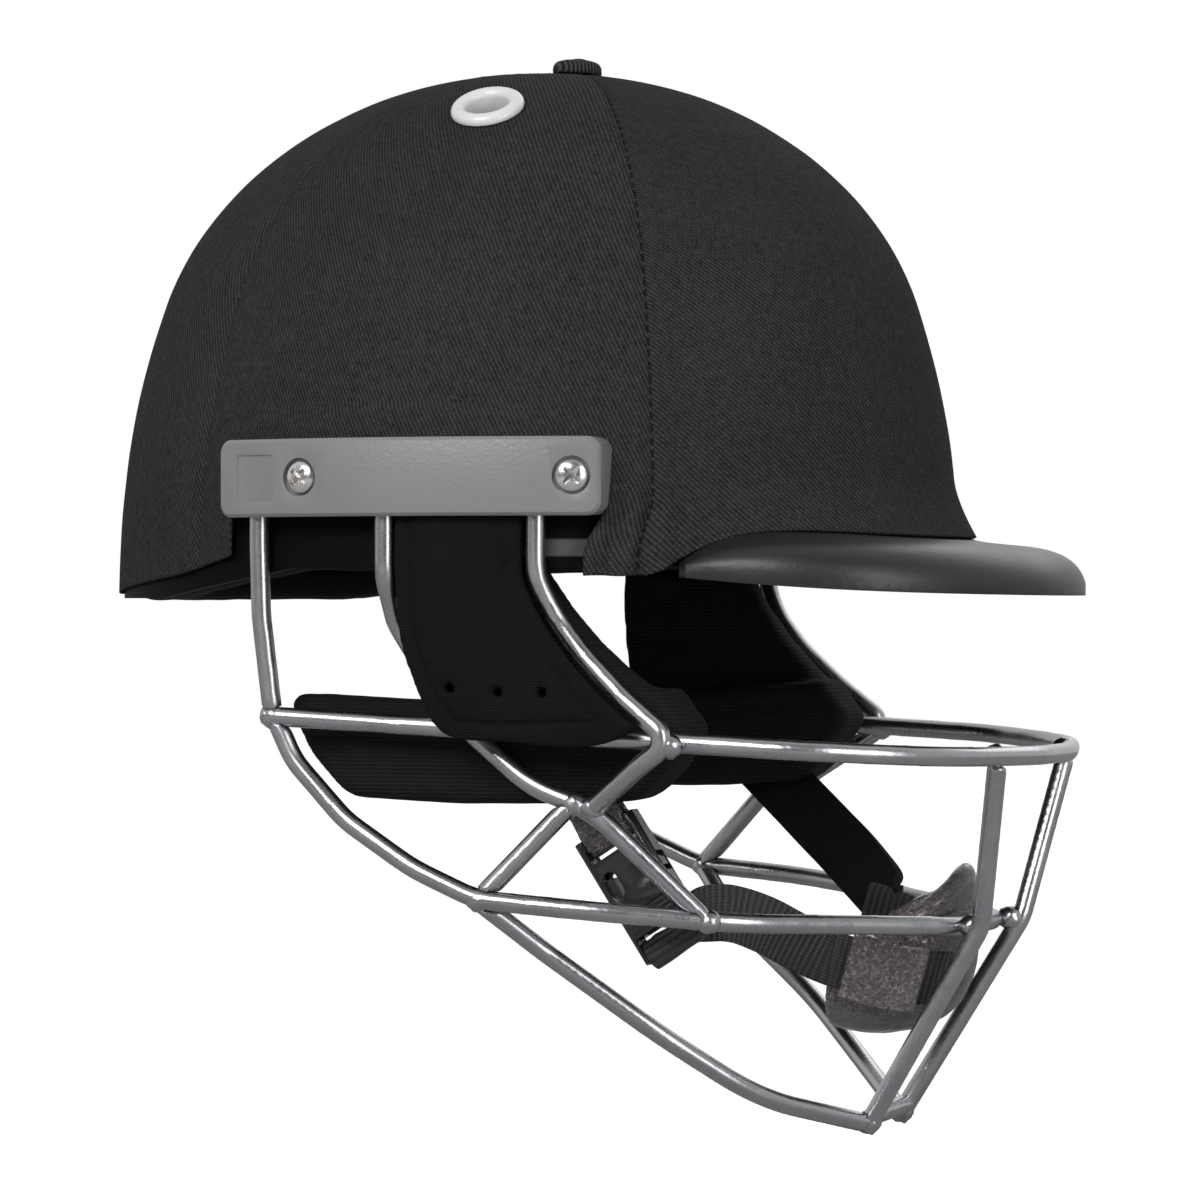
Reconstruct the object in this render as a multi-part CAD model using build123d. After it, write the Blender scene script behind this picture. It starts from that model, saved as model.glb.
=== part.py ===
from build123d import *
from math import atan2, cos, hypot, radians, sin, sqrt
import os

# Cricket helmet with a fabric covered shell, a moulded peak and a wire face guard.
# Frame: +X towards the peak, +Y the wearer's left, +Z up, in mm. The origin is the
# centre of the head opening, level with the lower rim at the ears.

# Dome of the hard shell: a three-centred arch, turned round and stretched lengthways
shell_half_length = 121.0
shell_half_width = 100.6
shell_height = 141.0
side_arc_radius = 275.0
haunch_arc_radius = 91.0
crown_arc_radius = 210.0
shell_wall = 3.2
dome_skirt = 26.0
dome_lean = 1.6

# Cloth cover over the shell
glue_gap = 0.3
cloth_thickness = 1.1

# Lower rims: heights, and places along the helmet, from the nape to the brow
rim_rear = -7.5
rim_ear = 0.5
rim_front = 4.0
rim_nape_end = -84.0
rim_ear_start = -34.0
rim_ear_end = 60.0
hem_rear = -6.5
hem_roll = 1.5
hem_behind_plate = 8.0
hem_nape_end = -113.0
hem_roll_end = -102.0
hem_lobe = -2.0
hem_lobe_start = 62.0

# Lining
seat_gap = 0.4
liner_thickness = 14.0
headband_height = 9.0
headband_thickness = 12.5
pad_thickness = 6.0
crown_pad_radius = 44.0
crown_hub_radius = 15.0
crown_arm_width = 17.0
brow_pad_width = 96.0
brow_pad_low = 16.0
brow_pad_high = 42.0
temple_pad_front = 26.0
temple_pad_rear = -30.0
temple_pad_low = 18.0
temple_pad_high = 62.0

# Crown button and vent eyelets
button_place = 12.6
button_radius = 7.0
button_height = 4.4
button_pin_radius = 2.0
button_pin_clearance = 0.3
eyelet_place = 5.6
eyelet_spread = 51.6
eyelet_radius = 10.3
eyelet_bore_radius = 6.0
eyelet_wall = 1.3
eyelet_flange = 1.4
eyelet_depth = 8.0
eyelet_clearance = 0.3

# Peak
peak_reach = 159.0
peak_root_top = 10.6
peak_root_bottom = -2.0
peak_edge_low = -6.8
peak_edge_high = -3.4
peak_end_width = 4.0
peak_end_angle = 49.0
peak_shoulder_share = 1.8
peak_shares = ((1.0, 0.02), (0.84, 0.42), (0.56, 0.82), (0.28, 0.96), (0.0, 1.0))

# Side plates, bent to the side of the shell, and their screws
plate_front = 55.6
plate_rear = -54.4
plate_high = 35.4
plate_low = 14.4
plate_corner = 3.6
plate_wall = 3.0
plate_side_wall = 2.4
plate_bevel = 0.9
label_size = 12.4
label_place = -42.0
label_depth = 0.4
recess_radius = 5.2
recess_depth = 1.6
screw_places = (-27.4, 48.0)
screw_height = 25.0
screw_head_radius = 4.3
screw_head_height = 2.0
screw_radius = 2.5
screw_length = 13.6
screw_clearance = 0.3
cross_width = 1.3
cross_length = 5.6
cross_depth = 1.2
thread_gap = 0.06
nut_barrel_radius = 3.8
nut_barrel_length = 2.4
nut_flange_radius = 5.6
nut_flange = 1.2
nut_seat_gap = 0.75
pocket_room = 1.0

# Wires of the guard
wire_radius = 2.75
weld_gap = 0.1
wire_top = 31.0

# Guard stations: place along the helmet, half width and height
top_bar_rear = (-43.8, 94.6, -39.4)
top_bar_cheek = (108.5, 92.6, -47.5)
top_bar_corner = (141.0, 66.0, -49.7)
top_bar_front = (153.0, 16.0, -50.5)
top_bar_radii = (35.0, 60.0, 60.0)
back_wire_start = (-40.2, 94.5, -39.4)
back_wire_points = ((-34.5, 94.3, -51.5), (-19.5, 94.0, -67.5), (0.0, 93.8, -80.2), (18.5, 93.4, -88.3))
lower_bar_cheek = (50.0, 91.5, -90.8)
lower_bar_corner = (84.0, 74.5, -94.3)
lower_bar_nose = (132.3, 18.2, -97.6)
lower_bar_radii = (22.0, 32.0, 60.0, 30.0, 60.0, 60.0, 26.0)
front_bar_top = (147.3, 37.0, -50.3)
front_bar_knee = (138.2, 21.3, -97.2)
front_bar_foot = (103.4, 15.7, -154.9)
front_bar_radius = 12.0
bottom_rail_points = ((18.8, 93.2, -88.6), (33.0, 80.0, -103.0), (62.0, 68.5, -125.5), (84.0, 50.0, -143.5),
                      (104.6, 15.9, -152.9))
bottom_rail_radii = (24.0, 70.0, 60.0)
link_place = (106.2, 16.1, -150.3)

# Cheek wires: the rear upright, the flap upright, the cheek upright and the brace
rear_upright_points = ((-43.5, 97.0, 7.0), (-43.0, 96.9, -12.0), (-40.6, 94.6, -39.2))
rear_upright_radii = (60.0, 60.0)
flap_upright_points = ((-4.2, 103.4, -1.0), (-3.5, 97.0, -14.0), (4.0, 91.2, -29.0), (13.5, 87.6, -43.0),
                       (31.5, 87.6, -57.8), (49.5, 87.6, -64.3), (78.5, 78.0, -94.0))
flap_upright_radii = (14.0, 14.0, 24.0, 24.0, 40.0, 30.0)
cheek_upright_points = ((37.4, 99.0, -1.0), (40.6, 95.6, -11.0), (49.4, 95.5, -22.5), (61.4, 97.5, -34.0),
                        (75.6, 99.1, -45.3), (66.3, 97.3, -51.6), (49.5, 87.9, -63.8))
cheek_upright_radii = (16.0, 30.0, 40.0, 30.0, 4.4, 14.0)
brace_points = ((43.5, 87.8, -62.3), (18.9, 93.2, -88.2))

# Ear flaps: side outline, and half widths of the inner face at four heights
flap_thickness = 4.0
flap_stations = (-8.0, 20.0, 68.0)
flap_heights = (31.0, -2.0, -25.0, -48.0)
flap_inner = ((100.8, 100.0, 82.8), (100.8, 100.0, 84.0), (100.6, 100.0, 96.0), (97.4, 97.2, 97.0))
flap_rear_edge = ((-0.6, -8.0), (1.2, -21.0), (5.8, -34.0))
flap_front_edge = ((33.9, -1.0), (37.3, -10.0), (45.4, -22.0), (56.2, -33.5), (66.0, -41.4))
flap_corner = (13.5, -44.4)
flap_bottom = -45.6
flap_nose = 62.0
vent_hole_radius = 1.6
vent_holes = ((14.5, -31.5), (28.0, -32.5), (40.5, -32.5))

# Cheek pads: a crowned pad with a tongue up to the rim
pad_outer = 84.4
pad_inner = 60.0
pad_outline = ((-43.0, -33.5), (8.0, -36.0), (69.0, -31.5), (82.5, -42.5), (73.0, -52.5), (58.0, -62.0),
               (-24.0, -62.0), (-35.0, -50.0))
pad_corner_radii = (3.0, 24.0, 7.0, 4.0, 8.0, 9.0, 12.0, 12.0)
pad_crown = 4.0
tongue_levels = ((0.1, -3.5, 36.0, 91.2, 82.0), (-19.0, -1.0, 49.5, 88.8, 77.0),
                 (-38.0, 5.0, 71.0, 83.6, 68.0))
tongue_corner = 2.5

# Chin strap: buckle place, halves and webbing
buckle_top = (46.5, -69.0, -69.6)
buckle_angle = 57.0
buckle_width = 19.2
buckle_thickness = 8.4
buckle_wall = 1.4
buckle_bevel = 1.0
tab_bar = 3.2
tab_slot = 4.0
socket_length = 24.0
socket_cavity = 9.0
window_start = 13.0
window_end = 19.0
face_window_width = 4.2
face_window_length = 8.0
plug_length = 13.4
plug_gap = 0.3
plug_travel = 24.0
guide_reach = 12.0
guide_width = 3.2
guide_thickness = 2.4
prong_reach = 12.6
prong_thickness = 2.4
prong_play = 0.4
hook_rise = 1.4
hook_length = 4.6
plug_slot_start = 6.2
plug_slot = 4.0
plug_rib = 0.5
plug_rib_places = (1.4, 3.0, 4.6)
webbing_width = 15.6
webbing_thickness = 1.4
webbing_gap = 0.3
bar_corner_share = 0.72
loop_reach = 8.0
loop_turn = 112.0
loop_stub = 3.0
tab_reach = 15.0
tab_top = -62.3
tab_width = 14.2
tab_thickness = 1.5

# Chin cup: a hollow ball cut open towards the chin, and the band that holds it
cup_centre = (99.0, 0.0, -102.6)
cup_radius = 28.0
cup_wall = 3.6
cup_roll = 8.0
cup_pitch = 18.0
cup_rear = -1.5
cup_rim = (2.0, 5.0)
cup_rim_slope = 45.0
band_gap = 0.4
band_start = -96.0
band_end = 108.0
keeper_gap = 0.35
keeper_wall = 1.4
keeper_start = 46.0
keeper_end = 78.0
left_strap_width = 17.4
left_strap_thickness = 2.2
left_strap_stations = (((51.0, 71.5, -62.4), (0.67, -0.58, -0.45), (0.68, 0.26, 0.69)),
                       ((65.8, 58.7, -72.3), (0.67, -0.58, -0.45), (0.66, 0.22, 0.71)),
                       ((80.0, 46.6, -81.6), (0.68, -0.58, -0.44), (0.58, 0.1, 0.8)))
left_strap_turns = (112.0, 101.0, 90.0)
chin_webbing_stations = (((67.8, -54.6, -93.6), (0.55, 0.8, 0.24), (0.44, 0.0, 0.9)),
                         ((75.0, -48.6, -93.4), (0.78, 0.62, -0.06), (-0.1, 0.1, 0.98)),
                         ((83.0, -42.2, -96.4), (0.76, 0.55, -0.36), (0.1, 0.1, 0.98)),
                         ((91.4, -35.6, -101.6), (0.8, 0.45, -0.4), (0.26, -0.06, 0.96)))

# One overrun for every cut
overrun = 20.0

os.makedirs("parts", exist_ok=True)


def save(name, shape):
    """Write one sub-part under its own name."""
    export_step(shape, "parts/" + name + ".step")


def save_pair(name, right_shape):
    """Write a right hand sub-part and its mirror image."""
    save(name + "_right", right_shape)
    save(name + "_left", mirror(right_shape, about=Plane.XZ))


# Dome surfaces. They are made round, in a space whose length is squeezed and whose
# crown is over the middle, then stretched, and leaned to the front, level by level.

plan_stretch = shell_half_length / shell_half_width
lean_share = dome_lean / shell_height
end_x = shell_half_length + overrun
side_y = shell_half_width + overrun
cloth_outer = glue_gap + cloth_thickness
shell_inner = -shell_wall
liner_outer = shell_inner - seat_gap
liner_inner = liner_outer - liner_thickness


def arch_centres():
    """Centres of the side, haunch and crown arcs, in radius and height."""
    side = Vector(shell_half_width - side_arc_radius, 0)
    crown = Vector(0, shell_height - crown_arc_radius)
    reach_side = side_arc_radius - haunch_arc_radius
    reach_crown = crown_arc_radius - haunch_arc_radius
    span = crown - side
    along = (reach_side ** 2 - reach_crown ** 2 + span.length ** 2) / (2 * span.length)
    aside = sqrt(reach_side ** 2 - along ** 2)
    unit = span.normalized()
    haunch = side + unit * along + Vector(-unit.Y, unit.X) * aside
    return side, haunch, crown


def arch(grow):
    """Three arcs from the rim to the crown of a dome surface, and their points."""
    side, haunch, crown = arch_centres()
    low = atan2(haunch.Y - side.Y, haunch.X - side.X)
    high = atan2(haunch.Y - crown.Y, haunch.X - crown.X)
    top = radians(90)
    arcs = []
    stretches = ((side, side_arc_radius, 0, low), (haunch, haunch_arc_radius, low, high),
                 (crown, crown_arc_radius, high, top))
    for centre, radius, start, stop in stretches:
        points = []
        for angle in (start, (start + stop) / 2, stop):
            reach = radius + grow
            points.append((centre.X + reach * cos(angle), centre.Y + reach * sin(angle)))
        if stop == top:
            points[-1] = (0, shell_height + grow)
        arcs.append(points)
    return arcs


def arch_radius(height, grow):
    """Radius of a dome surface at a height, in the round space."""
    side, haunch, crown = arch_centres()
    arcs = arch(grow)
    if height < arcs[0][2][1]:
        centre, radius = side, side_arc_radius
    elif height < arcs[1][2][1]:
        centre, radius = haunch, haunch_arc_radius
    else:
        centre, radius = crown, crown_arc_radius
    return centre.X + sqrt((radius + grow) ** 2 - (height - centre.Y) ** 2)


def dome_wall(outer, inner):
    """Wall between two dome surfaces, in the round space."""
    outer_arcs = arch(outer)
    inner_arcs = arch(inner)
    profile = Line(outer_arcs[2][2], inner_arcs[2][2])
    for start, middle, stop in outer_arcs + inner_arcs:
        profile += ThreePointArc(start, middle, stop)
    outer_start = outer_arcs[0][0]
    inner_start = inner_arcs[0][0]
    skirt = ((outer_start[0], -dome_skirt), (inner_start[0], -dome_skirt))
    profile += Polyline(outer_start, *skirt, inner_start)
    return revolve(make_face(Plane.XZ * profile), Axis.Z)


def dome_core(grow):
    """Everything inside a dome surface, in the round space."""
    arcs = arch(grow)
    profile = Polyline(arcs[2][2], (0, -dome_skirt), (arcs[0][0][0], -dome_skirt), arcs[0][0])
    for start, middle, stop in arcs:
        profile += ThreePointArc(start, middle, stop)
    return revolve(make_face(Plane.XZ * profile), Axis.Z)


def finished(shape):
    """A shape of the round space at its real length and lean."""
    rows = [[plan_stretch, 0, lean_share, 0], [0, 1, 0, 0], [0, 0, 1, 0], [0, 0, 0, 1]]
    return shape.transform_geometry(Matrix(rows))


def to_round(vector):
    """A real point or direction in the round space."""
    return Vector((vector.X - vector.Z * lean_share) / plan_stretch, vector.Y, vector.Z)


def across_block(points):
    """Bar across the helmet over a side outline, in the round space."""
    places = [to_round(Vector(x, 0, z)) for x, z in points]
    outline = Polyline(*[(place.X, place.Z) for place in places], close=True)
    return extrude(make_face(Plane.XZ * outline), side_y, both=True)


def above_line(points):
    """Room above a line drawn from the side, in the round space."""
    top = shell_height + overrun
    return across_block(list(points) + [(points[-1][0], top), (points[0][0], top)])


def round_bore(plane, radius, length):
    """Bore along a real plane's normal, both ways, in the round space."""
    across = to_round(plane.x_dir)
    aside = to_round(plane.y_dir)
    along = to_round(plane.z_dir)
    base = Plane(origin=to_round(plane.origin - plane.z_dir * length), x_dir=across, z_dir=across.cross(aside))
    outline = base * Ellipse(radius * across.length, radius * aside.length)
    return extrude(outline, 2 * length * along.length, dir=along)


def side_half_width(x, z, grow):
    """Half width of a dome surface at a place along the helmet and a height."""
    place = to_round(Vector(x, 0, z))
    return sqrt(arch_radius(place.Z, grow) ** 2 - place.X ** 2)


def crown_plane(x, y, grow):
    """Plane on the upper part of a dome surface, with its normal outwards."""
    _, centre, crown = arch_centres()
    radius = haunch_arc_radius
    round_x = (x - dome_lean) / plan_stretch
    reach = hypot(round_x, y)
    if reach * (crown_arc_radius - haunch_arc_radius) < centre.X * crown_arc_radius:
        centre, radius = crown, crown_arc_radius
    out = reach - centre.X
    rise = sqrt(radius ** 2 - out ** 2)
    slope = out / reach * round_x / plan_stretch
    normal = Vector(slope, out / reach * y, rise - slope * lean_share)
    tangent = Vector(normal.Z, 0, -normal.X)
    return Plane(origin=(x, y, centre.Y + rise), x_dir=tangent, z_dir=normal).offset(grow)


# Side plates follow one bend about an upright line

plate_middle = (plate_front + plate_rear) / 2
plate_span = plate_front - plate_rear
plate_bend = shell_half_length ** 2 / shell_half_width
wire_seat = weld_gap + wire_radius
plate_inner = wire_seat + wire_radius + weld_gap
plate_outer = plate_inner + plate_wall


def bend_plane(x, z, out):
    """Plane on the right side bend, with its normal outwards."""
    reach = plate_bend + out
    offset = x - plate_middle
    depth = sqrt(reach ** 2 - offset ** 2)
    axis_y = plate_bend - shell_half_width
    normal = Vector(offset, -depth, 0)
    return Plane(origin=(x, axis_y - depth, z), x_dir=(depth, offset, 0), z_dir=normal)


def bend_wall(outer, inner):
    """Upright wall between two side bends, round the right side."""
    axis = Pos(plate_middle, plate_bend - shell_half_width, 0)
    height = plate_high + overrun
    wall = Cylinder(plate_bend + outer, 2 * height) - Cylinder(plate_bend + inner, 2 * height)
    return axis * wall


def plate_block(inset, drop=0):
    """Rounded plate outline seen from the side, as a bar out to the right."""
    width = plate_span - 2 * inset
    height = plate_high - plate_low - inset + drop
    middle = plate_high - inset - height / 2
    corner = plate_corner - inset
    outline = Plane.XZ * Pos(plate_middle, middle) * RectangleRounded(width, height, corner)
    return extrude(outline, side_y)


def screw_planes():
    """Planes on the recess floors of the right plate, one for each screw."""
    return [bend_plane(x, screw_height, plate_outer - recess_depth) for x in screw_places]


# Shell, cloth and peak

shell_rim = ((-end_x, rim_rear), (rim_nape_end, rim_rear), (rim_ear_start, rim_ear), (rim_ear_end, rim_ear),
             (end_x, rim_front))
hem_line = ((-end_x, hem_rear), (hem_nape_end, hem_rear), (hem_roll_end, hem_roll),
            (plate_rear + plate_side_wall, hem_behind_plate), (plate_rear + plate_side_wall, wire_top),
            (plate_front - plate_side_wall, wire_top), (plate_front - plate_side_wall, plate_low),
            (plate_front - 2 * plate_side_wall, hem_behind_plate), (plate_front, rim_ear),
            (hem_lobe_start, hem_lobe), (end_x, rim_front + hem_lobe))


def button_plane(grow):
    """Plane of the crown button on a dome surface."""
    return crown_plane(button_place, 0, grow)


def eyelet_plane(grow):
    """Plane of the right vent eyelet on a dome surface."""
    return crown_plane(eyelet_place, -eyelet_spread, grow)


def with_eyelet_holes(shape):
    """A dome shape with the holes for both eyelets."""
    sleeve = round_bore(eyelet_plane(0), eyelet_bore_radius + eyelet_wall + eyelet_clearance, overrun)
    return shape - sleeve - mirror(sleeve, about=Plane.XZ)


def with_pin_hole(shape):
    """A dome shape with the hole for the button's pin."""
    return shape - round_bore(button_plane(0), button_pin_radius + button_pin_clearance, overrun)


def with_screw_holes(shape, radius, floor):
    """A dome shape with holes for the nuts of both plates, down to a floor."""
    for plane in screw_planes():
        hole = round_bore(plane.offset(floor + overrun), radius, overrun)
        shape = shape - hole - mirror(hole, about=Plane.XZ)
    return shape


def outer_shell():
    """Hard shell with its crown holes and its nut holes."""
    shell = with_pin_hole(with_eyelet_holes(dome_wall(0, shell_inner) & above_line(shell_rim)))
    return finished(with_screw_holes(shell, nut_barrel_radius + screw_clearance, -2 * overrun))


def cloth_cover():
    """Fabric cover, cut away behind and below the side plates."""
    cloth = dome_wall(cloth_outer, glue_gap) & above_line(hem_line)
    return finished(with_pin_hole(with_eyelet_holes(cloth)))


def crown_button():
    """Fabric covered button with the pin that holds it through the shell."""
    crown = Spline((button_radius, button_height / 4), (button_radius / 2, button_height * 0.9),
                   (0, button_height), tangents=((0, 1), (-1, 0)))
    stem = -shell_wall - cloth_outer - seat_gap
    closing = Polyline((0, button_height), (0, stem), (button_pin_radius, stem), (button_pin_radius, 0),
                       (button_radius, 0), (button_radius, button_height / 4))
    body = revolve(make_face(Plane.XZ * (crown + closing)), Axis.Z)
    return button_plane(cloth_outer + seat_gap / 2) * body


def vent_eyelet():
    """Right vent eyelet: a rolled flange on the cloth and a sleeve through the shell."""
    inner = eyelet_bore_radius
    outer = eyelet_bore_radius + eyelet_wall
    roll = ThreePointArc((inner, 0), ((inner + outer) / 2, eyelet_flange), (eyelet_radius, -eyelet_flange / 4))
    closing = Polyline((eyelet_radius, -eyelet_flange / 4), (eyelet_radius, -eyelet_flange / 2),
                       (outer, -eyelet_flange / 4), (outer, -eyelet_depth), (inner, -eyelet_depth), (inner, 0))
    body = revolve(make_face(Plane.XZ * (roll + closing)), Axis.Z)
    return eyelet_plane(cloth_outer + eyelet_flange / 4 + seat_gap / 2) * body


def peak_section(angle_share, reach_share):
    """Cross-section of the peak on the upright plane at an angle from the front."""
    turn = radians(angle_share * peak_end_angle)
    root_length = shell_half_length + cloth_outer + seat_gap
    root_width = shell_half_width + cloth_outer + seat_gap
    root = 1 / hypot(cos(turn) / root_length, sin(turn) / root_width)
    full_width = peak_reach - root_length
    width = peak_end_width + (full_width - peak_end_width) * reach_share
    tip = root + width
    low = peak_root_bottom + (peak_edge_low - peak_root_bottom) * reach_share
    high = low + peak_edge_high - peak_edge_low
    top = high + (peak_root_top - peak_edge_high) * min(1, reach_share * peak_shoulder_share)
    fall = top - high
    wall = 0.93 * (high - low)
    rib = root + width * 0.1
    upper = Spline((root, top), (root + width * 0.55, top - fall * 0.26), (tip - width * 0.09, top - fall * 0.6),
                   (tip, high))
    under = Spline((tip - width * 0.07, low), (tip - width * 0.15, top - fall * 0.54 - wall),
                   (root + width * 0.5, top - fall * 0.23 - wall), (rib, top - wall))
    lip = Polyline((tip, high), (tip, low), (tip - width * 0.07, low))
    closing = Polyline((rib, top - wall), (rib, peak_root_bottom), (root, peak_root_bottom), (root, top))
    face = Plane(origin=(0, 0, 0), x_dir=(cos(turn), sin(turn), 0), z_dir=(sin(turn), -cos(turn), 0))
    return make_face(face * (upper + lip + under + closing))


def peak():
    """Moulded peak that wraps the brow."""
    sections = [peak_section(-angle, reach) for angle, reach in peak_shares]
    sections += [peak_section(angle, reach) for angle, reach in reversed(peak_shares[:-1])]
    return loft(sections)


# Lining

def impact_liner():
    """Foam liner inside the shell, with pockets for the nuts."""
    rise = headband_height
    rim = [(x, z + rise) for x, z in shell_rim]
    liner = with_eyelet_holes(dome_wall(liner_outer, liner_inner) & above_line(rim))
    return finished(with_screw_holes(liner, nut_flange_radius + seat_gap, -screw_length - pocket_room))


def headband():
    """Padded band inside the lower rim, flush with it."""
    band = dome_wall(liner_outer, liner_outer - headband_thickness) & above_line(shell_rim)
    rim = [(x, z + headband_height - seat_gap) for x, z in shell_rim]
    return finished(band - above_line(rim))


def lining_pad(block):
    """Comfort pad on the liner, inside a block of the round space."""
    return finished(dome_wall(liner_inner - seat_gap, liner_inner - seat_gap - pad_thickness) & block)


def cross_block(x_low, x_high, y_low, y_high, z_low, z_high):
    """Box between limits in the round space."""
    low = to_round(Vector(x_low, 0, 0)).X
    high = to_round(Vector(x_high, 0, 0)).X
    box = Box(high - low, y_high - y_low, z_high - z_low)
    return Pos((low + high) / 2, (y_low + y_high) / 2, (z_low + z_high) / 2) * box


def crown_pad():
    """Crown pad with a hub and six arms."""
    arms = Circle(crown_hub_radius)
    for turn in range(0, 180, 60):
        arms += Rot(0, 0, turn) * SlotOverall(2 * crown_pad_radius, crown_arm_width)
    return lining_pad(extrude(arms, shell_height))


# Side plates and fasteners

def side_plate():
    """Right side plate: a bent cover with walls towards the shell."""
    block = plate_block(0)
    outside = (bend_wall(plate_outer, -overrun) & block).solid()
    outside = chamfer(outside.faces().sort_by(Axis.Y)[0].edges(), plate_bevel)
    room = bend_wall(plate_inner, -2 * overrun) & plate_block(plate_side_wall, overrun)
    plate = outside - room - finished(dome_core(cloth_outer + seat_gap))
    for plane in screw_planes():
        recess = plane * Pos(0, 0, overrun / 2) * Cylinder(recess_radius, overrun)
        plate = plate - recess - plane * Cylinder(screw_radius + screw_clearance, overrun)
    label = bend_plane(label_place, (plate_high + plate_low) / 2, plate_outer - label_depth)
    return plate - label * Pos(0, 0, overrun / 2) * Box(label_size, label_size, overrun)


def plate_screw():
    """Pan head screw with a cross recess, seated at the origin and pointing down."""
    dome_start = screw_head_height * 0.55
    side = Polyline((0, -screw_length), (screw_radius, -screw_length), (screw_radius, 0), (screw_head_radius, 0),
                    (screw_head_radius, dome_start))
    top = ThreePointArc((screw_head_radius, dome_start), (screw_head_radius * 0.7, screw_head_height * 0.92),
                        (0, screw_head_height))
    axis = Line((0, screw_head_height), (0, -screw_length))
    body = revolve(make_face(Plane.XZ * (side + top + axis)), Axis.Z)
    slot = Pos(0, 0, screw_head_height) * Box(cross_length, cross_width, 2 * cross_depth)
    return body - Rot(0, 0, 45) * slot - Rot(0, 0, -45) * slot


def plate_screws():
    """Both screws of the right plate."""
    return Compound([plane * Pos(0, 0, weld_gap) * plate_screw() for plane in screw_planes()])


def depth_to_shell(plane):
    """Depth from a plane on the plate to the inner face of the shell."""
    depth = plate_outer
    for _ in range(4):
        place = plane.origin - plane.z_dir * depth
        depth += -place.Y - side_half_width(place.X, place.Z, shell_inner)
    return depth


def plate_nuts():
    """Both flanged nuts inside the right of the shell."""
    nuts = []
    for plane in screw_planes():
        seat = plane.offset(-depth_to_shell(plane) - nut_seat_gap)
        flange = Pos(0, 0, -nut_flange / 2) * Cylinder(nut_flange_radius, nut_flange)
        barrel = Pos(0, 0, nut_barrel_length / 2) * Cylinder(nut_barrel_radius, nut_barrel_length)
        nuts.append(seat * (flange + barrel - Cylinder(screw_radius + thread_gap, overrun)))
    return Compound(nuts)


# Wire guard

def right_side(points):
    """Places with half widths, put on the right."""
    return [(x, -half_width, z) for x, half_width, z in points]


def wire(points, radii, radius=wire_radius):
    """Round wire along a path of straight runs and bends."""
    path = FilletPolyline(*points, radius=radii) if radii else Line(points[0], points[-1])
    start = Plane(origin=path @ 0, z_dir=path % 0)
    return sweep(start * Circle(radius), path=path)


def both_sides(points):
    """Path on the right, round the front and back along the left."""
    return right_side(points) + [tuple(point) for point in reversed(points)]


def top_bar_path():
    """Path and bend radii of the upper bar."""
    points = both_sides((top_bar_rear, top_bar_cheek, top_bar_corner, top_bar_front))
    return points, top_bar_radii + top_bar_radii[::-1]


def lower_bar_path():
    """Path and bend radii of the lower bar, from the rear of the top bar."""
    stations = (back_wire_start,) + back_wire_points + (lower_bar_cheek, lower_bar_corner, lower_bar_nose)
    return both_sides(stations), lower_bar_radii + lower_bar_radii[::-1]


def clamped(points):
    """Cheek wire path that starts behind the side plate."""
    x, _, z = points[0]
    head = bend_plane(x, wire_top, wire_seat).origin
    return [(head.X, head.Y, head.Z)] + right_side(points)


def guard_wires():
    """Every wire of the right side and the middle, trimmed where they meet."""
    paths = {
        "top_bar": top_bar_path(),
        "lower_bar": lower_bar_path(),
        "rear_upright": (clamped(rear_upright_points), rear_upright_radii),
        "flap_upright": (clamped(flap_upright_points), flap_upright_radii),
        "cheek_upright": (clamped(cheek_upright_points), cheek_upright_radii),
        "brace": (right_side(brace_points), None),
        "front_bar": (right_side((front_bar_top, front_bar_knee, front_bar_foot)), (front_bar_radius,)),
        "bottom_rail": (right_side(bottom_rail_points), bottom_rail_radii),
        "bar_link": ([link_place, (link_place[0], -link_place[1], link_place[2])], None),
    }
    meets = {
        "lower_bar": ("top_bar",),
        "rear_upright": ("top_bar",),
        "flap_upright": ("lower_bar",),
        "cheek_upright": ("flap_upright",),
        "brace": ("flap_upright", "lower_bar"),
        "front_bar": ("top_bar",),
        "bottom_rail": ("lower_bar", "front_bar", "brace"),
    }
    wires = {name: wire(*path) for name, path in paths.items()}
    for name, others in meets.items():
        for other in others:
            points, radii = paths[other]
            wires[name] -= wire(points, radii, wire_radius + weld_gap)
    fat_bar = wire(*paths["front_bar"], wire_radius + weld_gap)
    wires["bar_link"] = wires["bar_link"] - fat_bar - mirror(fat_bar, about=Plane.XZ)
    return wires


# Ear flaps and cheek pads

def ear_flap():
    """Right ear flap: a thin padded sheet outside the upper bar, with vent holes."""
    levels = []
    rear, middle, front = flap_stations
    for height, (at_rear, at_middle, at_front) in zip(flap_heights, flap_inner):
        inner = ThreePointArc((rear, -at_rear), (middle, -at_middle), (front, -at_front))
        outer = ThreePointArc((rear, -at_rear - flap_thickness), (middle, -at_middle - flap_thickness),
                              (front, -at_front - flap_thickness))
        ends = Line(inner @ 0, outer @ 0) + Line(inner @ 1, outer @ 1)
        levels.append(make_face(Plane.XY.offset(height) * (inner + outer + ends)))
    sheet = loft(levels)
    rear_edge = Spline((flap_rear_edge[0][0], wire_top), *flap_rear_edge, flap_corner,
                       tangents=((0, -1), (1, -0.35)))
    bottom = Spline(flap_corner, (flap_corner[0] * 2, flap_bottom), (flap_nose, flap_bottom + 1.2),
                    flap_front_edge[-1], tangents=((1, -0.35), (0.35, 1)))
    front_edge = Spline(*flap_front_edge)
    rest = Polyline(flap_front_edge[0], (flap_front_edge[0][0], wire_top), (flap_rear_edge[0][0], wire_top))
    outline = make_face(Plane.XZ * (rear_edge + bottom + front_edge + rest))
    flap = sheet & extrude(outline, side_y)
    for x, z in vent_holes:
        flap -= Pos(x, -shell_half_width, z) * Rot(90, 0, 0) * Cylinder(vent_hole_radius, 2 * overrun)
    return flap


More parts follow.
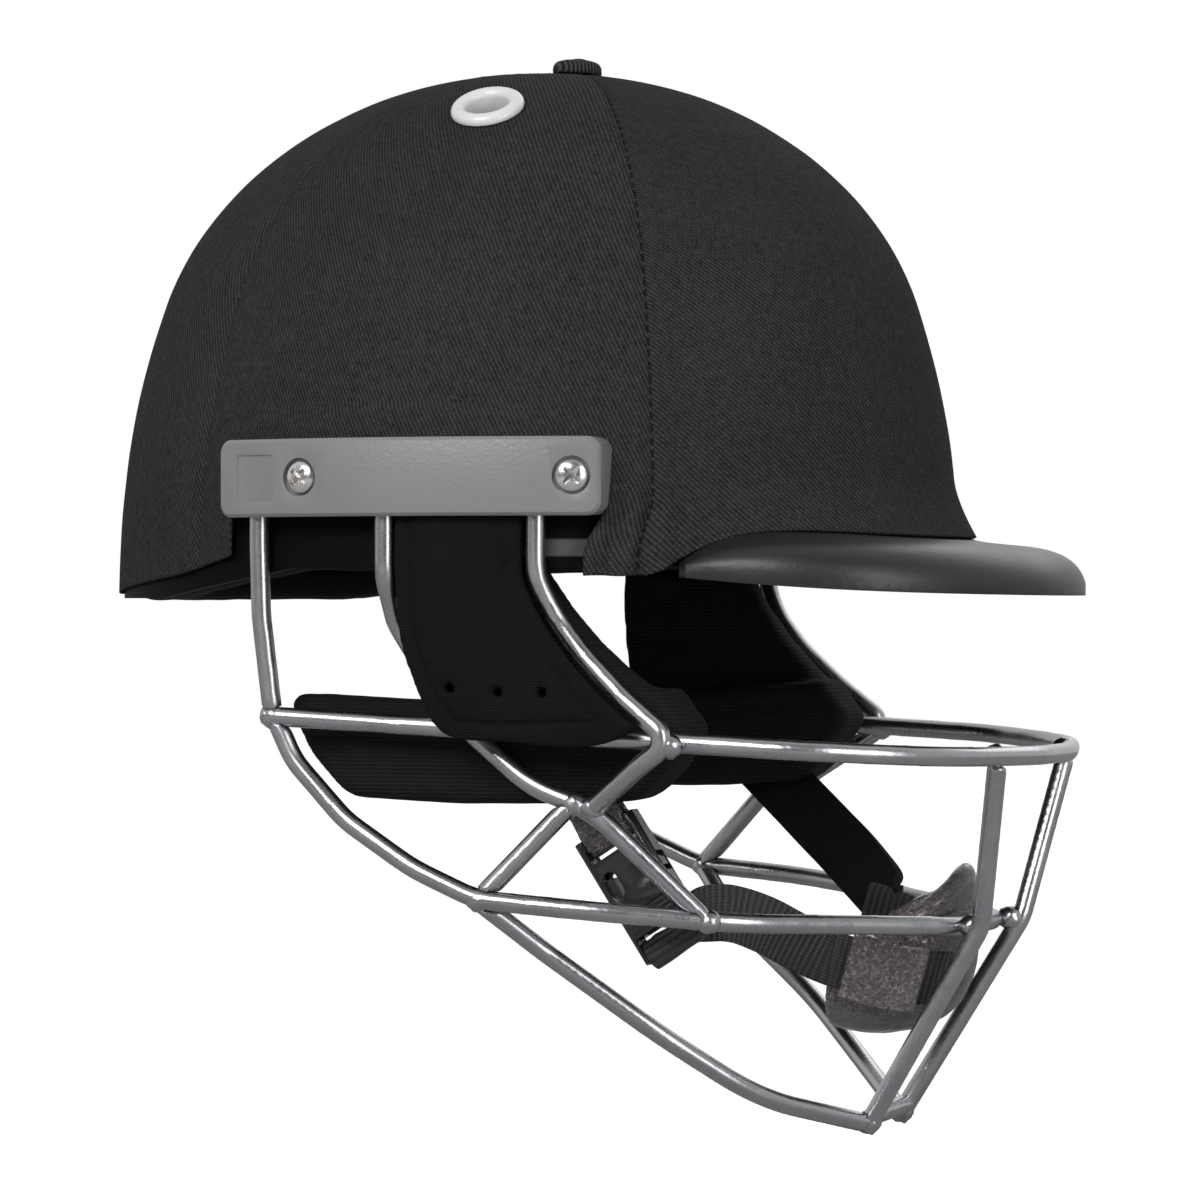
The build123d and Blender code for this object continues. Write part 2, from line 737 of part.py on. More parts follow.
def cheek_pad():
    """Right cheek pad: a crowned pad and its tongue."""
    outline = FilletPolyline(*pad_outline, radius=pad_corner_radii, close=True)
    body = extrude(Plane.XZ.offset(pad_inner) * make_face(outline), pad_outer - pad_inner)
    faces = body.faces().sort_by(Axis.Y)
    body = fillet(faces[-1].edges() + faces[0].edges(), pad_crown)
    levels = []
    for height, rear, front, outer, inner in tongue_levels:
        place = Pos((rear + front) / 2, -(outer + inner) / 2, height)
        levels.append(place * RectangleRounded(front - rear, outer - inner, tongue_corner))
    return body + loft(levels)


# Frame of the chin cup and its band

cup_frame = Pos(*cup_centre) * Rot(cup_roll, 0, 0) * Rot(0, cup_pitch, 0)
band_inner = cup_radius + band_gap
band_outer = band_inner + webbing_thickness
keeper_inner = band_outer + keeper_gap
keeper_outer = keeper_inner + keeper_wall
band_middle = (band_inner + band_outer) / 2


def band_plane(turn, reach, way=1):
    """Plane across the band at an angle round the cup, facing round it."""
    angle = radians(turn)
    place = Plane(origin=(reach * cos(angle), reach * sin(angle), 0), x_dir=(0, 0, 1),
                  z_dir=(-way * sin(angle), way * cos(angle), 0))
    return Plane(cup_frame * place.location)


# Buckle and webbing

buckle_turn = radians(buckle_angle)
buckle_plane = Plane(origin=buckle_top, x_dir=(cos(buckle_turn), 0, -sin(buckle_turn)), z_dir=(0, -1, 0))
cavity_width = buckle_width - 2 * buckle_wall
cavity_height = buckle_thickness - 2 * buckle_wall
plug_start = socket_length + plug_gap


def buckle_box(start, stop, low, high, thickness):
    """Box in the buckle's own directions: along, across and through."""
    box = Box(stop - start, high - low, thickness)
    return Pos((start + stop) / 2, (low + high) / 2, 0) * box


def buckle_socket():
    """Socket half on the tab, with side windows and face windows."""
    half = buckle_width / 2
    body = buckle_box(0, socket_length, -half, half, buckle_thickness)
    body = fillet(body.edges().filter_by(Axis.X), buckle_bevel * 2)
    body -= buckle_box(tab_bar, tab_bar + tab_slot, -tab_width / 2 - webbing_gap, tab_width / 2 + webbing_gap,
                       2 * buckle_thickness)
    ease = buckle_thickness / 2 - tab_bar / 2
    for side in (-1, 1):
        trim = Pos(tab_bar / 2, 0, side * (buckle_thickness / 2)) * Box(tab_bar, tab_width, 2 * ease)
        body -= trim
        middle = side * (half - face_window_width)
        slot = Pos((window_start + window_end) / 2 - 1, middle, 0) * SlotOverall(face_window_length,
                                                                                 face_window_width)
        body -= extrude(slot, buckle_thickness, both=True)
    cavity_end = socket_length + overrun
    body -= buckle_box(socket_cavity, cavity_end, -cavity_width / 2, cavity_width / 2, cavity_height)
    body -= buckle_box(window_start, window_end, -buckle_width, buckle_width, cavity_height)
    return buckle_plane * body


def buckle_plug():
    """Plug half with its guide, its grip ribs and the bar that holds the webbing."""
    half = buckle_width / 2
    stop = plug_start + plug_length
    body = buckle_box(plug_start, stop, -half, half, buckle_thickness)
    body = fillet(body.edges().filter_by(Axis.X), buckle_bevel * 2)
    slot_half = webbing_width / 2 + webbing_gap
    first = plug_start + plug_slot_start
    bar_start = first + plug_slot
    body -= buckle_box(first, bar_start, -slot_half, slot_half, 2 * buckle_thickness)
    bar = stop - bar_start
    for side in (-1, 1):
        place = Pos(bar_start + bar / 2, 0, side * buckle_thickness / 2)
        body -= place * Box(bar, 2 * slot_half, buckle_thickness - bar)
        for start in plug_rib_places:
            groove = Pos(plug_start + start, 0, side * buckle_thickness / 2)
            body -= groove * Box(plug_rib, 2 * half, plug_rib)
    body += buckle_box(guide_reach, plug_start, -guide_width / 2, guide_width / 2, guide_thickness)
    return buckle_plane * body


def buckle_prongs():
    """Two springy prongs that hook into the socket's side windows."""
    outer = cavity_width / 2 - prong_play
    prongs = []
    for side in (-1, 1):
        arm = Polyline((plug_start, side * outer), (prong_reach + hook_length, side * outer),
                       (prong_reach + hook_length, side * (outer + hook_rise)),
                       (prong_reach + hook_length / 2, side * (outer + hook_rise)),
                       (prong_reach, side * outer), (prong_reach, side * (outer - prong_thickness)),
                       (plug_start, side * (outer - prong_thickness)), close=True)
        thickness = cavity_height - 2 * prong_play
        prong = extrude(make_face(arm), thickness / 2, both=True)
        prongs.append(buckle_plane * prong)
    return Compound(prongs)


def strap_loop(bar, width, thickness, middle, reach, turn=0):
    """Strap looped round a flat bar and sewn to itself a reach away, as a drop shape."""
    inner = bar * bar_corner_share + webbing_gap
    end = Pos(reach, 0) * Circle(thickness)
    outside = make_hull((Circle(inner + thickness) + end).edges())
    inside = make_hull((Circle(inner) + Pos(reach * 0.8, 0) * Circle(thickness / 10)).edges())
    drop = Rot(0, turn, 0) * extrude(Plane.XZ * (outside - inside), width / 2, both=True)
    return buckle_plane * Pos(middle, 0, 0) * drop


def ribbon(planes, width, thickness):
    """Flat strap through planes whose X runs across it."""
    return loft([plane * Rectangle(width, thickness) for plane in planes], ruled=True)


def station_planes(stations):
    """Planes of a strap at stations: place, way along and way across."""
    return [Plane(origin=place, x_dir=across, z_dir=along) for place, along, across in stations]


def below_pads(strap):
    """A strap cut off level with the lower faces of the cheek pads."""
    return strap - Pos(0, 0, tab_top + overrun / 2) * Box(4 * side_y, 4 * side_y, overrun)


def strap_tab():
    """Tab from the right cheek pad round the socket's bar."""
    return below_pads(strap_loop(tab_bar, tab_width, tab_thickness, tab_bar / 2, -tab_reach))


def chin_webbing():
    """Webbing looped round the plug's bar, and on to the side of the cup."""
    bar = plug_length - plug_slot_start - plug_slot
    middle = plug_start + plug_length - bar / 2
    loop = strap_loop(bar, webbing_width, webbing_thickness, middle, loop_reach, loop_turn)
    start = buckle_plane * Pos(middle, 0, 0) * Rot(0, loop_turn, 0) * Pos(loop_reach, 0, 0)
    frame = Plane(start)
    first = Plane(origin=frame.origin, x_dir=frame.y_dir, z_dir=frame.x_dir)
    middle_planes = station_planes(chin_webbing_stations)
    planes = [first, first.offset(loop_stub)] + middle_planes + [band_plane(band_start, band_middle)]
    return loop + ribbon(planes, webbing_width, webbing_thickness)


def left_strap():
    """Wide strap from the left cheek pad to the side of the cup."""
    reach = band_outer + seat_gap + left_strap_thickness / 2
    ends = [band_plane(turn, reach, -1) for turn in left_strap_turns]
    planes = station_planes(left_strap_stations) + ends
    return below_pads(ribbon(planes, left_strap_width, left_strap_thickness))


# Chin cup

def chin_cup():
    """Soft bowl under the chin: a hollow ball cut off behind, with a rim that rises to the front."""
    ball = Sphere(cup_radius) - Sphere(cup_radius - cup_wall)
    size = 4 * cup_radius
    behind = Pos(cup_rear - size / 2, 0, 0) * Box(size, size, size)
    rim = Pos(cup_rim[0], 0, cup_rim[1]) * Rot(0, -cup_rim_slope, 0)
    above = rim * Pos(0, 0, size / 2) * Box(size, size, size)
    return cup_frame * (ball - behind - above)


def turned(profile, start, stop):
    """A profile turned about the cup's axis between two angles."""
    return cup_frame * Rot(0, 0, start) * revolve(make_face(Plane.XZ * profile), Axis.Z, stop - start)


def cup_band():
    """Webbing round the front of the cup."""
    half = webbing_width / 2
    corners = ((band_inner, -half), (band_outer, -half), (band_outer, half), (band_inner, half))
    profile = Polyline(*corners, close=True)
    return turned(profile, band_start, band_end)


def cup_keeper():
    """Right keeper on the cup, a sleeve over the webbing."""
    inner_half = webbing_width / 2 + keeper_gap
    outer_half = inner_half + keeper_wall
    foot = sqrt(cup_radius ** 2 - outer_half ** 2)
    seat = cup_radius - weld_gap
    profile = Polyline((foot, -outer_half), (keeper_outer, -outer_half), (keeper_outer, outer_half),
                       (foot, outer_half), (foot, inner_half), (keeper_inner, inner_half),
                       (keeper_inner, -inner_half), (foot, -inner_half), close=True)
    keeper = turned(profile, -keeper_end, -keeper_start)
    return keeper - cup_frame * Sphere(cup_radius + weld_gap)


# All sub-parts

def main():
    """Build and write every sub-part."""
    save("outer_shell", outer_shell())
    save("cloth_cover", cloth_cover())
    save("crown_button", crown_button())
    save_pair("vent_eyelet", vent_eyelet())
    save("peak", peak())
    save("impact_liner", impact_liner())
    save("headband", headband())
    save("crown_pad", crown_pad())
    half = brow_pad_width / 2
    save("brow_pad", lining_pad(cross_block(0, end_x, -half, half, brow_pad_low, brow_pad_high)))
    save("nape_pad", lining_pad(cross_block(-end_x, 0, -half, half, brow_pad_low, brow_pad_high)))
    temple = lining_pad(cross_block(temple_pad_rear, temple_pad_front, -side_y, 0, temple_pad_low,
                                    temple_pad_high))
    save_pair("temple_pad", temple)
    save_pair("side_plate", side_plate())
    save_pair("plate_screws", plate_screws())
    save_pair("plate_nuts", plate_nuts())
    wires = guard_wires()
    for name in ("top_bar", "lower_bar", "bar_link"):
        save(name, wires.pop(name))
    for name, shape in wires.items():
        save_pair(name, shape)
    save_pair("ear_flap", ear_flap())
    save_pair("cheek_pad", cheek_pad())
    save("strap_tab", strap_tab())
    save("buckle_socket", buckle_socket())
    save("buckle_plug", buckle_plug())
    save("buckle_prongs", buckle_prongs())
    save("chin_webbing", chin_webbing())
    save("left_strap", left_strap())
    save("chin_cup", chin_cup())
    save("cup_band", cup_band())
    keeper = cup_keeper()
    save("cup_keeper_right", keeper)
    mirrored = cup_frame * mirror(cup_frame.inverse() * keeper, about=Plane.XZ)
    save("cup_keeper_left", mirrored)


main()
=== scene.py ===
import bpy, bmesh
from math import atan, atan2, cos, exp, hypot, pi, radians, sin, sqrt
from mathutils import Matrix, Vector, noise
from mathutils.bvhtree import BVHTree


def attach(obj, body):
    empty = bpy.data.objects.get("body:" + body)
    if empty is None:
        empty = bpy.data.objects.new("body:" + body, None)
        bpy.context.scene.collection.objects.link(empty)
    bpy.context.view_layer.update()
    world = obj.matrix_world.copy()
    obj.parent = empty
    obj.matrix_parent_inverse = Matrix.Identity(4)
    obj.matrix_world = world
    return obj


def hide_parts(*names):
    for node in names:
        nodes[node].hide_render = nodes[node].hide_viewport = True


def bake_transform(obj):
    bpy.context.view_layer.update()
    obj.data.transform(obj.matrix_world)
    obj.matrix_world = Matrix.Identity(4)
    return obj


# Cricket helmet: cloth covered shell, wire face guard, chin strap and cup
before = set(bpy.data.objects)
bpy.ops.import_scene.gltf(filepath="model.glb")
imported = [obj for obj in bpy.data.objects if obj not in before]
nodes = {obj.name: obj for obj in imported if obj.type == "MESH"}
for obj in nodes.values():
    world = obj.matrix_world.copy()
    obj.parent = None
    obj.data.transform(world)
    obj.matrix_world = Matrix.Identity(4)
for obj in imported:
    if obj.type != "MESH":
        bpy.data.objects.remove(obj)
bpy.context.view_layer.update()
sides = ("right", "left")
mergeGap = 1e-5
fullTurn = 2 * pi
print("frame loaded:", len(nodes), "CAD pieces")


# small tools for meshes

def shadeSmooth(mesh):
    for face in mesh.polygons:
        face.use_smooth = True


def meshFrom(name, bm):
    mesh = bpy.data.meshes.new(name)
    bm.to_mesh(mesh)
    bm.free()
    return mesh


def linked(name, data):
    made = bpy.data.objects.new(name, data)
    bpy.context.scene.collection.objects.link(made)
    return made


def newPiece(name, bm, body="helmet"):
    # without a body, the piece is left unattached
    mesh = meshFrom(name, bm)
    shadeSmooth(mesh)
    piece = linked(name, mesh)
    if body:
        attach(piece, body)
    return piece


def workIn(piece):
    # work the piece's modifiers into its mesh
    graph = bpy.context.evaluated_depsgraph_get()
    mesh = bpy.data.meshes.new_from_object(piece.evaluated_get(graph))
    piece.modifiers.clear()
    piece.data = mesh


def addModifier(piece, kind, **settings):
    made = piece.modifiers.new(kind.title(), kind)
    for key, value in settings.items():
        setattr(made, key, value)


def openGrid(rows, columns):
    # a grid, with the row and the share of the way across of each corner
    bm = bmesh.new()
    bmesh.ops.create_grid(bm, x_segments=rows, y_segments=columns, size=1)
    where = {vert.index: (round((vert.co.x + 1) / 2 * rows), (vert.co.y + 1) / 2) for vert in bm.verts}
    return bm, where


def fromNode(nodeName):
    # a merged copy of a CAD node's mesh, as a bmesh
    bm = bmesh.new()
    bm.from_mesh(nodes[nodeName].data)
    bmesh.ops.remove_doubles(bm, verts=bm.verts, dist=mergeGap)
    return bm


def ease(value, low, high):
    # 0 below low, 1 above high, smooth between
    t = min(1, max(0, (value - low) / (high - low)))
    return t * t * (3 - 2 * t)


def bump(value, middle, width):
    return exp(-((value - middle) / width) ** 2)


def ridge(value, height, middle, width):
    return height * bump(value, middle, width)


def between(value, pairs):
    # straight-line reading of a small table
    if value <= pairs[0][0]:
        return pairs[0][1]
    for (a, fa), (b, fb) in zip(pairs, pairs[1:]):
        if value <= b:
            return fa + (fb - fa) * (value - a) / (b - a)
    return pairs[-1][1]


class Value:
    # a shader value that writes its own Math nodes
    def __init__(self, paint, socket):
        self.paint, self.socket = paint, socket

    def calc(self, operation, *others):
        return self.paint.maths(operation, self, *others)

    def __add__(self, other):
        return self.calc("ADD", other)

    def __radd__(self, other):
        return self.paint.maths("ADD", other, self)

    def __sub__(self, other):
        return self.calc("SUBTRACT", other)

    def __rsub__(self, other):
        return self.paint.maths("SUBTRACT", other, self)

    def __mul__(self, other):
        return self.calc("MULTIPLY", other)

    def __rmul__(self, other):
        return self.paint.maths("MULTIPLY", other, self)

    def sine(self):
        return self.calc("SINE")

    def size(self):
        return self.calc("ABSOLUTE")

    def soft(self, low, high):
        made = self.paint.node("MapRange", {"interpolation_type": "SMOOTHSTEP"}, Value=self, From_Min=low,
                               From_Max=high)
        return Value(self.paint, made.outputs["Result"])


class NodeTree:
    # a node tree and the ways to add to it
    def __init__(self, tree):
        self.tree = tree

    def node(self, kind, settings=None, slots=None, **inputs):
        # slots has the inputs that go by number
        made = self.tree.nodes.new("ShaderNode" + kind)
        for key, value in (settings or {}).items():
            setattr(made, key, value)
        for key, value in (slots or {}).items():
            self.plug(made.inputs[key], value)
        for key, value in inputs.items():
            self.plug(made.inputs[key.replace("_", " ")], value)
        return made

    def plug(self, socket, value):
        if isinstance(value, Value):
            self.tree.links.new(value.socket, socket)
        elif isinstance(value, bpy.types.NodeSocket):
            self.tree.links.new(value, socket)
        else:
            socket.default_value = value

    def maths(self, operation, *items):
        made = self.node("Math", {"operation": operation}, dict(enumerate(items)))
        return Value(self, made.outputs[0])

    def place(self, which="Object"):
        return self.node("TexCoord").outputs[which]

    def parts(self, vector):
        made = self.node("SeparateXYZ", Vector=vector)
        return [Value(self, made.outputs[i]) for i in range(3)]

    def noise(self, vector, scale, detail=3, roughness=0.5):
        made = self.node("TexNoise", Vector=vector, Scale=scale, Detail=detail, Roughness=roughness)
        return Value(self, made.outputs["Fac"])

    def blend(self, factor, first, second):
        return self.node("Mix", {"data_type": "RGBA"}, {0: factor, 6: first, 7: second}).outputs[2]


class Paint(NodeTree):
    # one material, with its shader
    def __init__(self, name, **constants):
        self.material = bpy.data.materials.new(name)
        self.material.use_nodes = True
        super().__init__(self.material.node_tree)
        self.shader = self.tree.nodes["Principled BSDF"]
        for key, value in constants.items():
            self.shader.inputs[key.replace("_", " ")].default_value = value

    def finished(self, colour, rough, height, depth, distance):
        # the material with its colour, roughness and relief
        made = self.node("Bump", Height=height, Strength=depth, Distance=distance)
        inputs = self.shader.inputs
        self.plug(inputs["Base Color"], colour)
        self.plug(inputs["Roughness"], rough)
        self.plug(inputs["Normal"], made.outputs["Normal"])
        return self.material


def grey(level, warm=0.0):
    return (level * (1 + warm), level, level * (1 - warm), 1)


def ribs(value, pitch, *shifts):
    # even ribs from 0 to 1, one to each pitch, pushed sideways by the shifts
    phase = value * (fullTurn / pitch)
    for shift in shifts:
        phase = phase + shift
    return phase.sine() * 0.5 + 0.5


# finishes: lengths in metres, noise scales in turns per metre, levels as plain linear greys

twill = {"pitch": 0.00107, "thread": 0.0012, "drift": 0.0031, "dark": 0.0070, "light": 0.058,
         "relief": 1.0, "depth": 0.00035, "stitch": 0.0034, "stitchEdge": (0.0003, 0.0007),
         "rough": 0.94, "lint": 0.12, "sewing": 0.003}


def makeTwill():
    # woven twill: the UV map runs across and along its ribs, a second map measures from the nearest seam
    paint = Paint("twillCloth", Specular_IOR_Level=0.05)
    coords = paint.place()
    across, run, _ = paint.parts(paint.place("UV"))
    wobble = (paint.noise(coords, 240, 2) - 0.5) * 1.1 + (paint.noise(coords, 1300, 1) - 0.5) * 3.0
    rib = ribs(across, twill["pitch"], wobble)
    picks = ribs(run, twill["thread"], across * (fullTurn / twill["drift"]), wobble * 1.5)
    gap, along, _ = paint.parts(paint.node("UVMap", {"uv_map": "seam"}).outputs["UV"])
    dashes = ((along * (fullTurn / twill["stitch"])).sine() + 0.6).soft(0.0, 0.5)
    stitch = (1 - gap.soft(*twill["stitchEdge"])) * dashes
    cloud = paint.noise(coords, 22, 4, 0.6)
    slub = paint.noise(coords, 520, 2, 0.6)
    lint = paint.noise(coords, 900, 1).soft(0.70, 0.82)
    height = rib * 0.55 + picks * rib * 0.45
    shade = height * 0.62 + cloud * 0.22 + slub * 0.6 - 0.24
    woven = paint.blend(shade, grey(twill["dark"]), grey(twill["light"]))
    linted = paint.blend(lint * 0.25, woven, grey(twill["lint"]))
    colour = paint.blend(stitch * 0.7, linted, grey(twill["sewing"]))
    rough = twill["rough"] - height * 0.16
    return paint.finished(colour, rough, height - stitch * 0.8, twill["relief"], twill["depth"])


def makeButtonCloth():
    # the cover's twill on the small button, slanting across its Object coordinates
    paint = Paint("buttonCloth", Specular_IOR_Level=0.12)
    along, across, _ = paint.parts(paint.place())
    slant = 2 / 1.41
    rib = ribs(along + across, twill["pitch"] * slant)
    colour = paint.blend(rib, grey(twill["dark"]), grey(twill["light"]))
    rough = twill["rough"] - rib * 0.12
    return paint.finished(colour, rough, rib, twill["relief"], twill["depth"])


# level, roughness, grain scale and relief, gloss and clouding of each moulded plastic
plastics = {
    "peakPlastic": (0.0085, 0.43, 1100, 0.14, 0.5, 0.12),
    "plateGrey": (0.185, 0.38, 1000, 0.25, 0.5, 0.07),
    "eyeletGrey": (0.62, 0.3, 500, 0.04, 0.5, 0.05),
    "bucklePlastic": (0.014, 0.24, 1400, 0.12, 0.6, 0.12),
}
grainDepth = 0.0004


def makeMoulded(name):
    # moulded plastic: fine spark grain, slight clouding of colour and gloss
    level, rough, grain, relief, shine, patch = plastics[name]
    paint = Paint(name, Specular_IOR_Level=shine)
    fine = paint.noise(paint.place(), grain, 2)
    cloud = paint.noise(paint.place(), 30, 4, 0.6)
    colour = paint.blend(cloud, grey(level * (1 - patch)), grey(level * (1 + patch)))
    rough = rough + (cloud - 0.5) * 0.16 + (fine - 0.5) * 0.1
    return paint.finished(colour, rough, fine, relief, grainDepth)


# the shell's painted rim highlight, a pale band: where it starts, between which heights, and its two greys
shellRimHighlight = {"front": (0.030, 0.034), "low": (0.0034, 0.0040), "high": (0.0078, 0.0086), "dark": 0.0015,
            "pale": 0.070}


def makeShell():
    # the moulded shell, with a painted highlight: paler where its rim shows in front of the ear flap
    paint = Paint("shellPlastic", Specular_IOR_Level=0.06)
    forward, _, up = paint.parts(paint.place())
    # rim: mask of the painted highlight along the shell's lip, blended into the colour
    rim = forward.soft(*shellRimHighlight["front"]) * up.soft(*shellRimHighlight["low"]) * (1 - up.soft(*shellRimHighlight["high"]))
    fine = paint.noise(paint.place(), 700, 2)
    colour = paint.blend(rim, grey(shellRimHighlight["dark"]), grey(shellRimHighlight["pale"]))
    rough = 0.6 - rim * 0.2 + (fine - 0.5) * 0.1
    return paint.finished(colour, rough, fine, 0.1, grainDepth)


# titanium, a little blue: level, roughness, and its darkest and palest shares of the level
guardMetal = {"level": 0.36, "rough": 0.29, "dark": (0.84, 0.87, 0.92), "pale": (1.28, 1.29, 1.31)}
metalDepth = 0.0002


def makeGuardMetal():
    # polished titanium: light mottle of the oxide, faint drawing marks
    paint = Paint("guardMetal", Metallic=1.0, Specular_IOR_Level=0.5)
    coords = paint.place()
    mottle = paint.noise(coords, 90, 4, 0.6)
    marks = paint.noise(coords, 1100, 3, 0.55)
    dark, pale = [tuple(guardMetal["level"] * share for share in guardMetal[key]) + (1,)
                  for key in ("dark", "pale")]
    colour = paint.blend(mottle, dark, pale)
    rough = guardMetal["rough"] + (marks - 0.5) * 0.10 + (mottle - 0.5) * 0.16
    return paint.finished(colour, rough, marks * 0.5 + mottle, 0.05, metalDepth)


steel = {"level": 0.66, "rough": 0.24, "warm": 0.02}


def makeSteel():
    # bright steel of the screws and nuts
    paint = Paint("screwSteel", Metallic=1.0)
    fine = paint.noise(paint.place(), 1500, 3)
    level, warm = steel["level"], steel["warm"]
    colour = paint.blend(fine, grey(level * 0.85, warm), grey(level * 1.1, warm))
    rough = steel["rough"] + (fine - 0.5) * 0.12
    return paint.finished(colour, rough, fine, 0.08, metalDepth)


# level, pitch of the courses and how far they show, for each knit
knits = {
    "padKnit": (0.0105, 0.0011, 0.5),
    "flapKnit": (0.0055, 0.0008, 0.3),
    "liningKnit": (0.010, 0.0009, 0.3),
}
knitDepth = 0.0004


def makeKnit(name):
    # brushed knit over foam: fine courses and a soft nap
    level, pitch, ribbed = knits[name]
    paint = Paint(name, Specular_IOR_Level=0.12)
    coords = paint.place()
    along, across, up = paint.parts(coords)
    wobble = (paint.noise(coords, 300, 2) - 0.5) * 2.2
    courses = ribs(up, pitch, wobble)
    wales = ribs(along + across * 0.7, pitch * 0.8, wobble)
    nap = paint.noise(coords, 1400, 3, 0.7)
    cloud = paint.noise(coords, 35, 3)
    height = courses * ribbed + wales * 0.2 + nap * (0.8 - ribbed)
    shade = height * 0.5 + cloud * 0.4
    colour = paint.blend(shade, grey(level * 0.25), grey(level * 1.7))
    rough = 0.96 - height * 0.12
    return paint.finished(colour, rough, height, 1.0, knitDepth)


# strap leather greys; glint is the colour of the painted glints
leather = {"crease": (0.006, 0.005, 0.006, 1), "dark": (0.085, 0.070, 0.079, 1),
           "pale": (0.220, 0.183, 0.205, 1), "glint": (0.46, 0.38, 0.43, 1), "middle": (0.009, 0.019),
           "depth": 0.0006}


def makeLeather():
    # grained strap leather with a polished top coat and painted glints, darker in its creases and down the
    # middle of the cup
    paint = Paint("strapLeather", Specular_IOR_Level=0.9, Coat_Weight=0.8, Coat_Roughness=0.12)
    coords = paint.place()
    _, across, _ = paint.parts(coords)
    crease = paint.noise(coords, 1000, 3, 0.6)
    swirl = paint.noise(coords, 150, 3, 0.6)
    # offMiddle: darker down the middle of the cup, with the painted glints kept to its sides
    offMiddle = across.size().soft(*leather["middle"]) * 0.85 + 0.15
    tone = paint.blend(swirl, leather["dark"], leather["pale"])
    pebble = crease.soft(0.28, 0.66)
    # painted glints: pale specks blended into the colour in place of highlights on the coat
    glint = paint.noise(coords, 950, 2, 0.6).soft(0.56, 0.68)
    plain = paint.blend((pebble * 0.7 + 0.3) * offMiddle, leather["crease"], tone)
    colour = paint.blend(glint * offMiddle * 0.6, plain, leather["glint"])
    rough = 0.22 + (swirl - 0.5) * 0.5
    return paint.finished(colour, rough, pebble * 1.4 + swirl * 2.5, 1.0, leather["depth"])


webTape = {"rib": 0.0018, "thread": 0.0009, "dark": grey(0.004), "pale": (0.030, 0.026, 0.028, 1),
           "depth": 0.0006}


def makeWebbing():
    # ribbed tape: cross ribs over lengthways threads, laid out on the strap's own UV map
    paint = Paint("webbing", Sheen_Weight=0.08, Specular_IOR_Level=0.5)
    along, across, _ = paint.parts(paint.place("UV"))
    sway = (paint.noise(paint.place(), 180, 2) - 0.5) * 1.6
    rib = ribs(along, webTape["rib"], sway)
    threads = ribs(across, webTape["thread"])
    nap = paint.noise(paint.place(), 1200, 2)
    height = rib * 0.7 + threads * 0.2 + nap * 0.15
    colour = paint.blend(height, webTape["dark"], webTape["pale"])
    rough = 0.62 - rib * 0.2 + nap * 0.1
    return paint.finished(colour, rough, height, 0.8, webTape["depth"])


beadFoam = {"beads": 330.0, "gap": 0.16, "dark": 0.012, "pale": 0.03, "depth": 0.0006}


def makeFoam():
    # moulded bead foam
    paint = Paint("beadFoam", Specular_IOR_Level=0.3)
    cells = paint.node("TexVoronoi", {"feature": "DISTANCE_TO_EDGE"}, Vector=paint.place(),
                       Scale=beadFoam["beads"])
    bead = Value(paint, cells.outputs["Distance"]).soft(0.0, beadFoam["gap"])
    colour = paint.blend(bead, grey(beadFoam["dark"]), grey(beadFoam["pale"]))
    rough = 0.85 - bead * 0.15
    return paint.finished(colour, rough, bead, 0.5, beadFoam["depth"])


finishes = {
    "twillCloth": makeTwill(),
    "buttonCloth": makeButtonCloth(),
    "shellPlastic": makeShell(),
    "guardMetal": makeGuardMetal(),
    "screwSteel": makeSteel(),
    "strapLeather": makeLeather(),
    "webbing": makeWebbing(),
    "beadFoam": makeFoam(),
}
for name in plastics:
    finishes[name] = makeMoulded(name)
for name in knits:
    finishes[name] = makeKnit(name)
print("finishes made:", len(finishes))


# the finish of each CAD piece that shows as it is
nodeFinishes = {
    "shellPlastic": ("outer_shell",),
    "peakPlastic": ("peak",),
    "beadFoam": ("impact_liner",),
    "eyeletGrey": ("vent_eyelet",),
    "plateGrey": ("side_plate",),
    "screwSteel": ("plate_screws", "plate_nuts"),
    "guardMetal": ("top_bar", "lower_bar", "bar_link", "rear_upright", "flap_upright", "cheek_upright",
                   "brace", "front_bar", "bottom_rail"),
    "bucklePlastic": ("buckle_socket", "buckle_plug", "buckle_prongs"),
}
# width of the bevel that softens a node's edges, and how edges are told from curves
softEdges = {"side_plate": 0.0006, "peak": 0.0006, "buckle_socket": 0.0004, "buckle_plug": 0.0004,
             "plate_screws": 0.0003, "vent_eyelet": 0.0003}
bevelAngle = radians(35)
splitAngle = radians(32)
# the guard's wires are drawn round again
guardWire = {"voxel": 0.0008, "rounds": 4, "factor": 0.5}


def dressNode(node, name, finish):
    node.data.materials.clear()
    node.data.materials.append(finishes[finish])
    addModifier(node, "WELD", merge_threshold=mergeGap)
    shadeSmooth(node.data)
    if finish == "guardMetal":
        addModifier(node, "REMESH", mode="VOXEL", voxel_size=guardWire["voxel"], use_smooth_shade=True)
        addModifier(node, "SMOOTH", factor=guardWire["factor"], iterations=guardWire["rounds"])
        return
    if name in softEdges:
        addModifier(node, "BEVEL", width=softEdges[name], segments=2, limit_method="ANGLE",
                    angle_limit=bevelAngle)
    addModifier(node, "EDGE_SPLIT", split_angle=splitAngle, use_edge_sharp=False)


for finish, names in nodeFinishes.items():
    for name in names:
        for nodeName in [name] if name in nodes else [name + "_" + side for side in sides]:
            dressNode(nodes[nodeName], name, finish)
print("CAD pieces dressed")


# the dome that the CAD shell follows: side, haunch and crown arcs, stretched lengthways and leaned
dome = {"halfLength": 0.121, "halfWidth": 0.1006, "height": 0.141, "sideArc": 0.275, "haunchArc": 0.091,
        "crownArc": 0.210, "lean": 0.0016, "button": 0.0126}
domeStretch = dome["halfLength"] / dome["halfWidth"]
domeLean = dome["lean"] / dome["height"]
# rays to the dome start under the button, and its normal is read over a small step, level at its foot
domeRays = {"base": 0.03, "near": 0.05, "far": 0.20, "halvings": 22}
domeNormals = {"step": 2e-4, "foot": 1e-3, "cap": 0.012, "capTilt": 5}


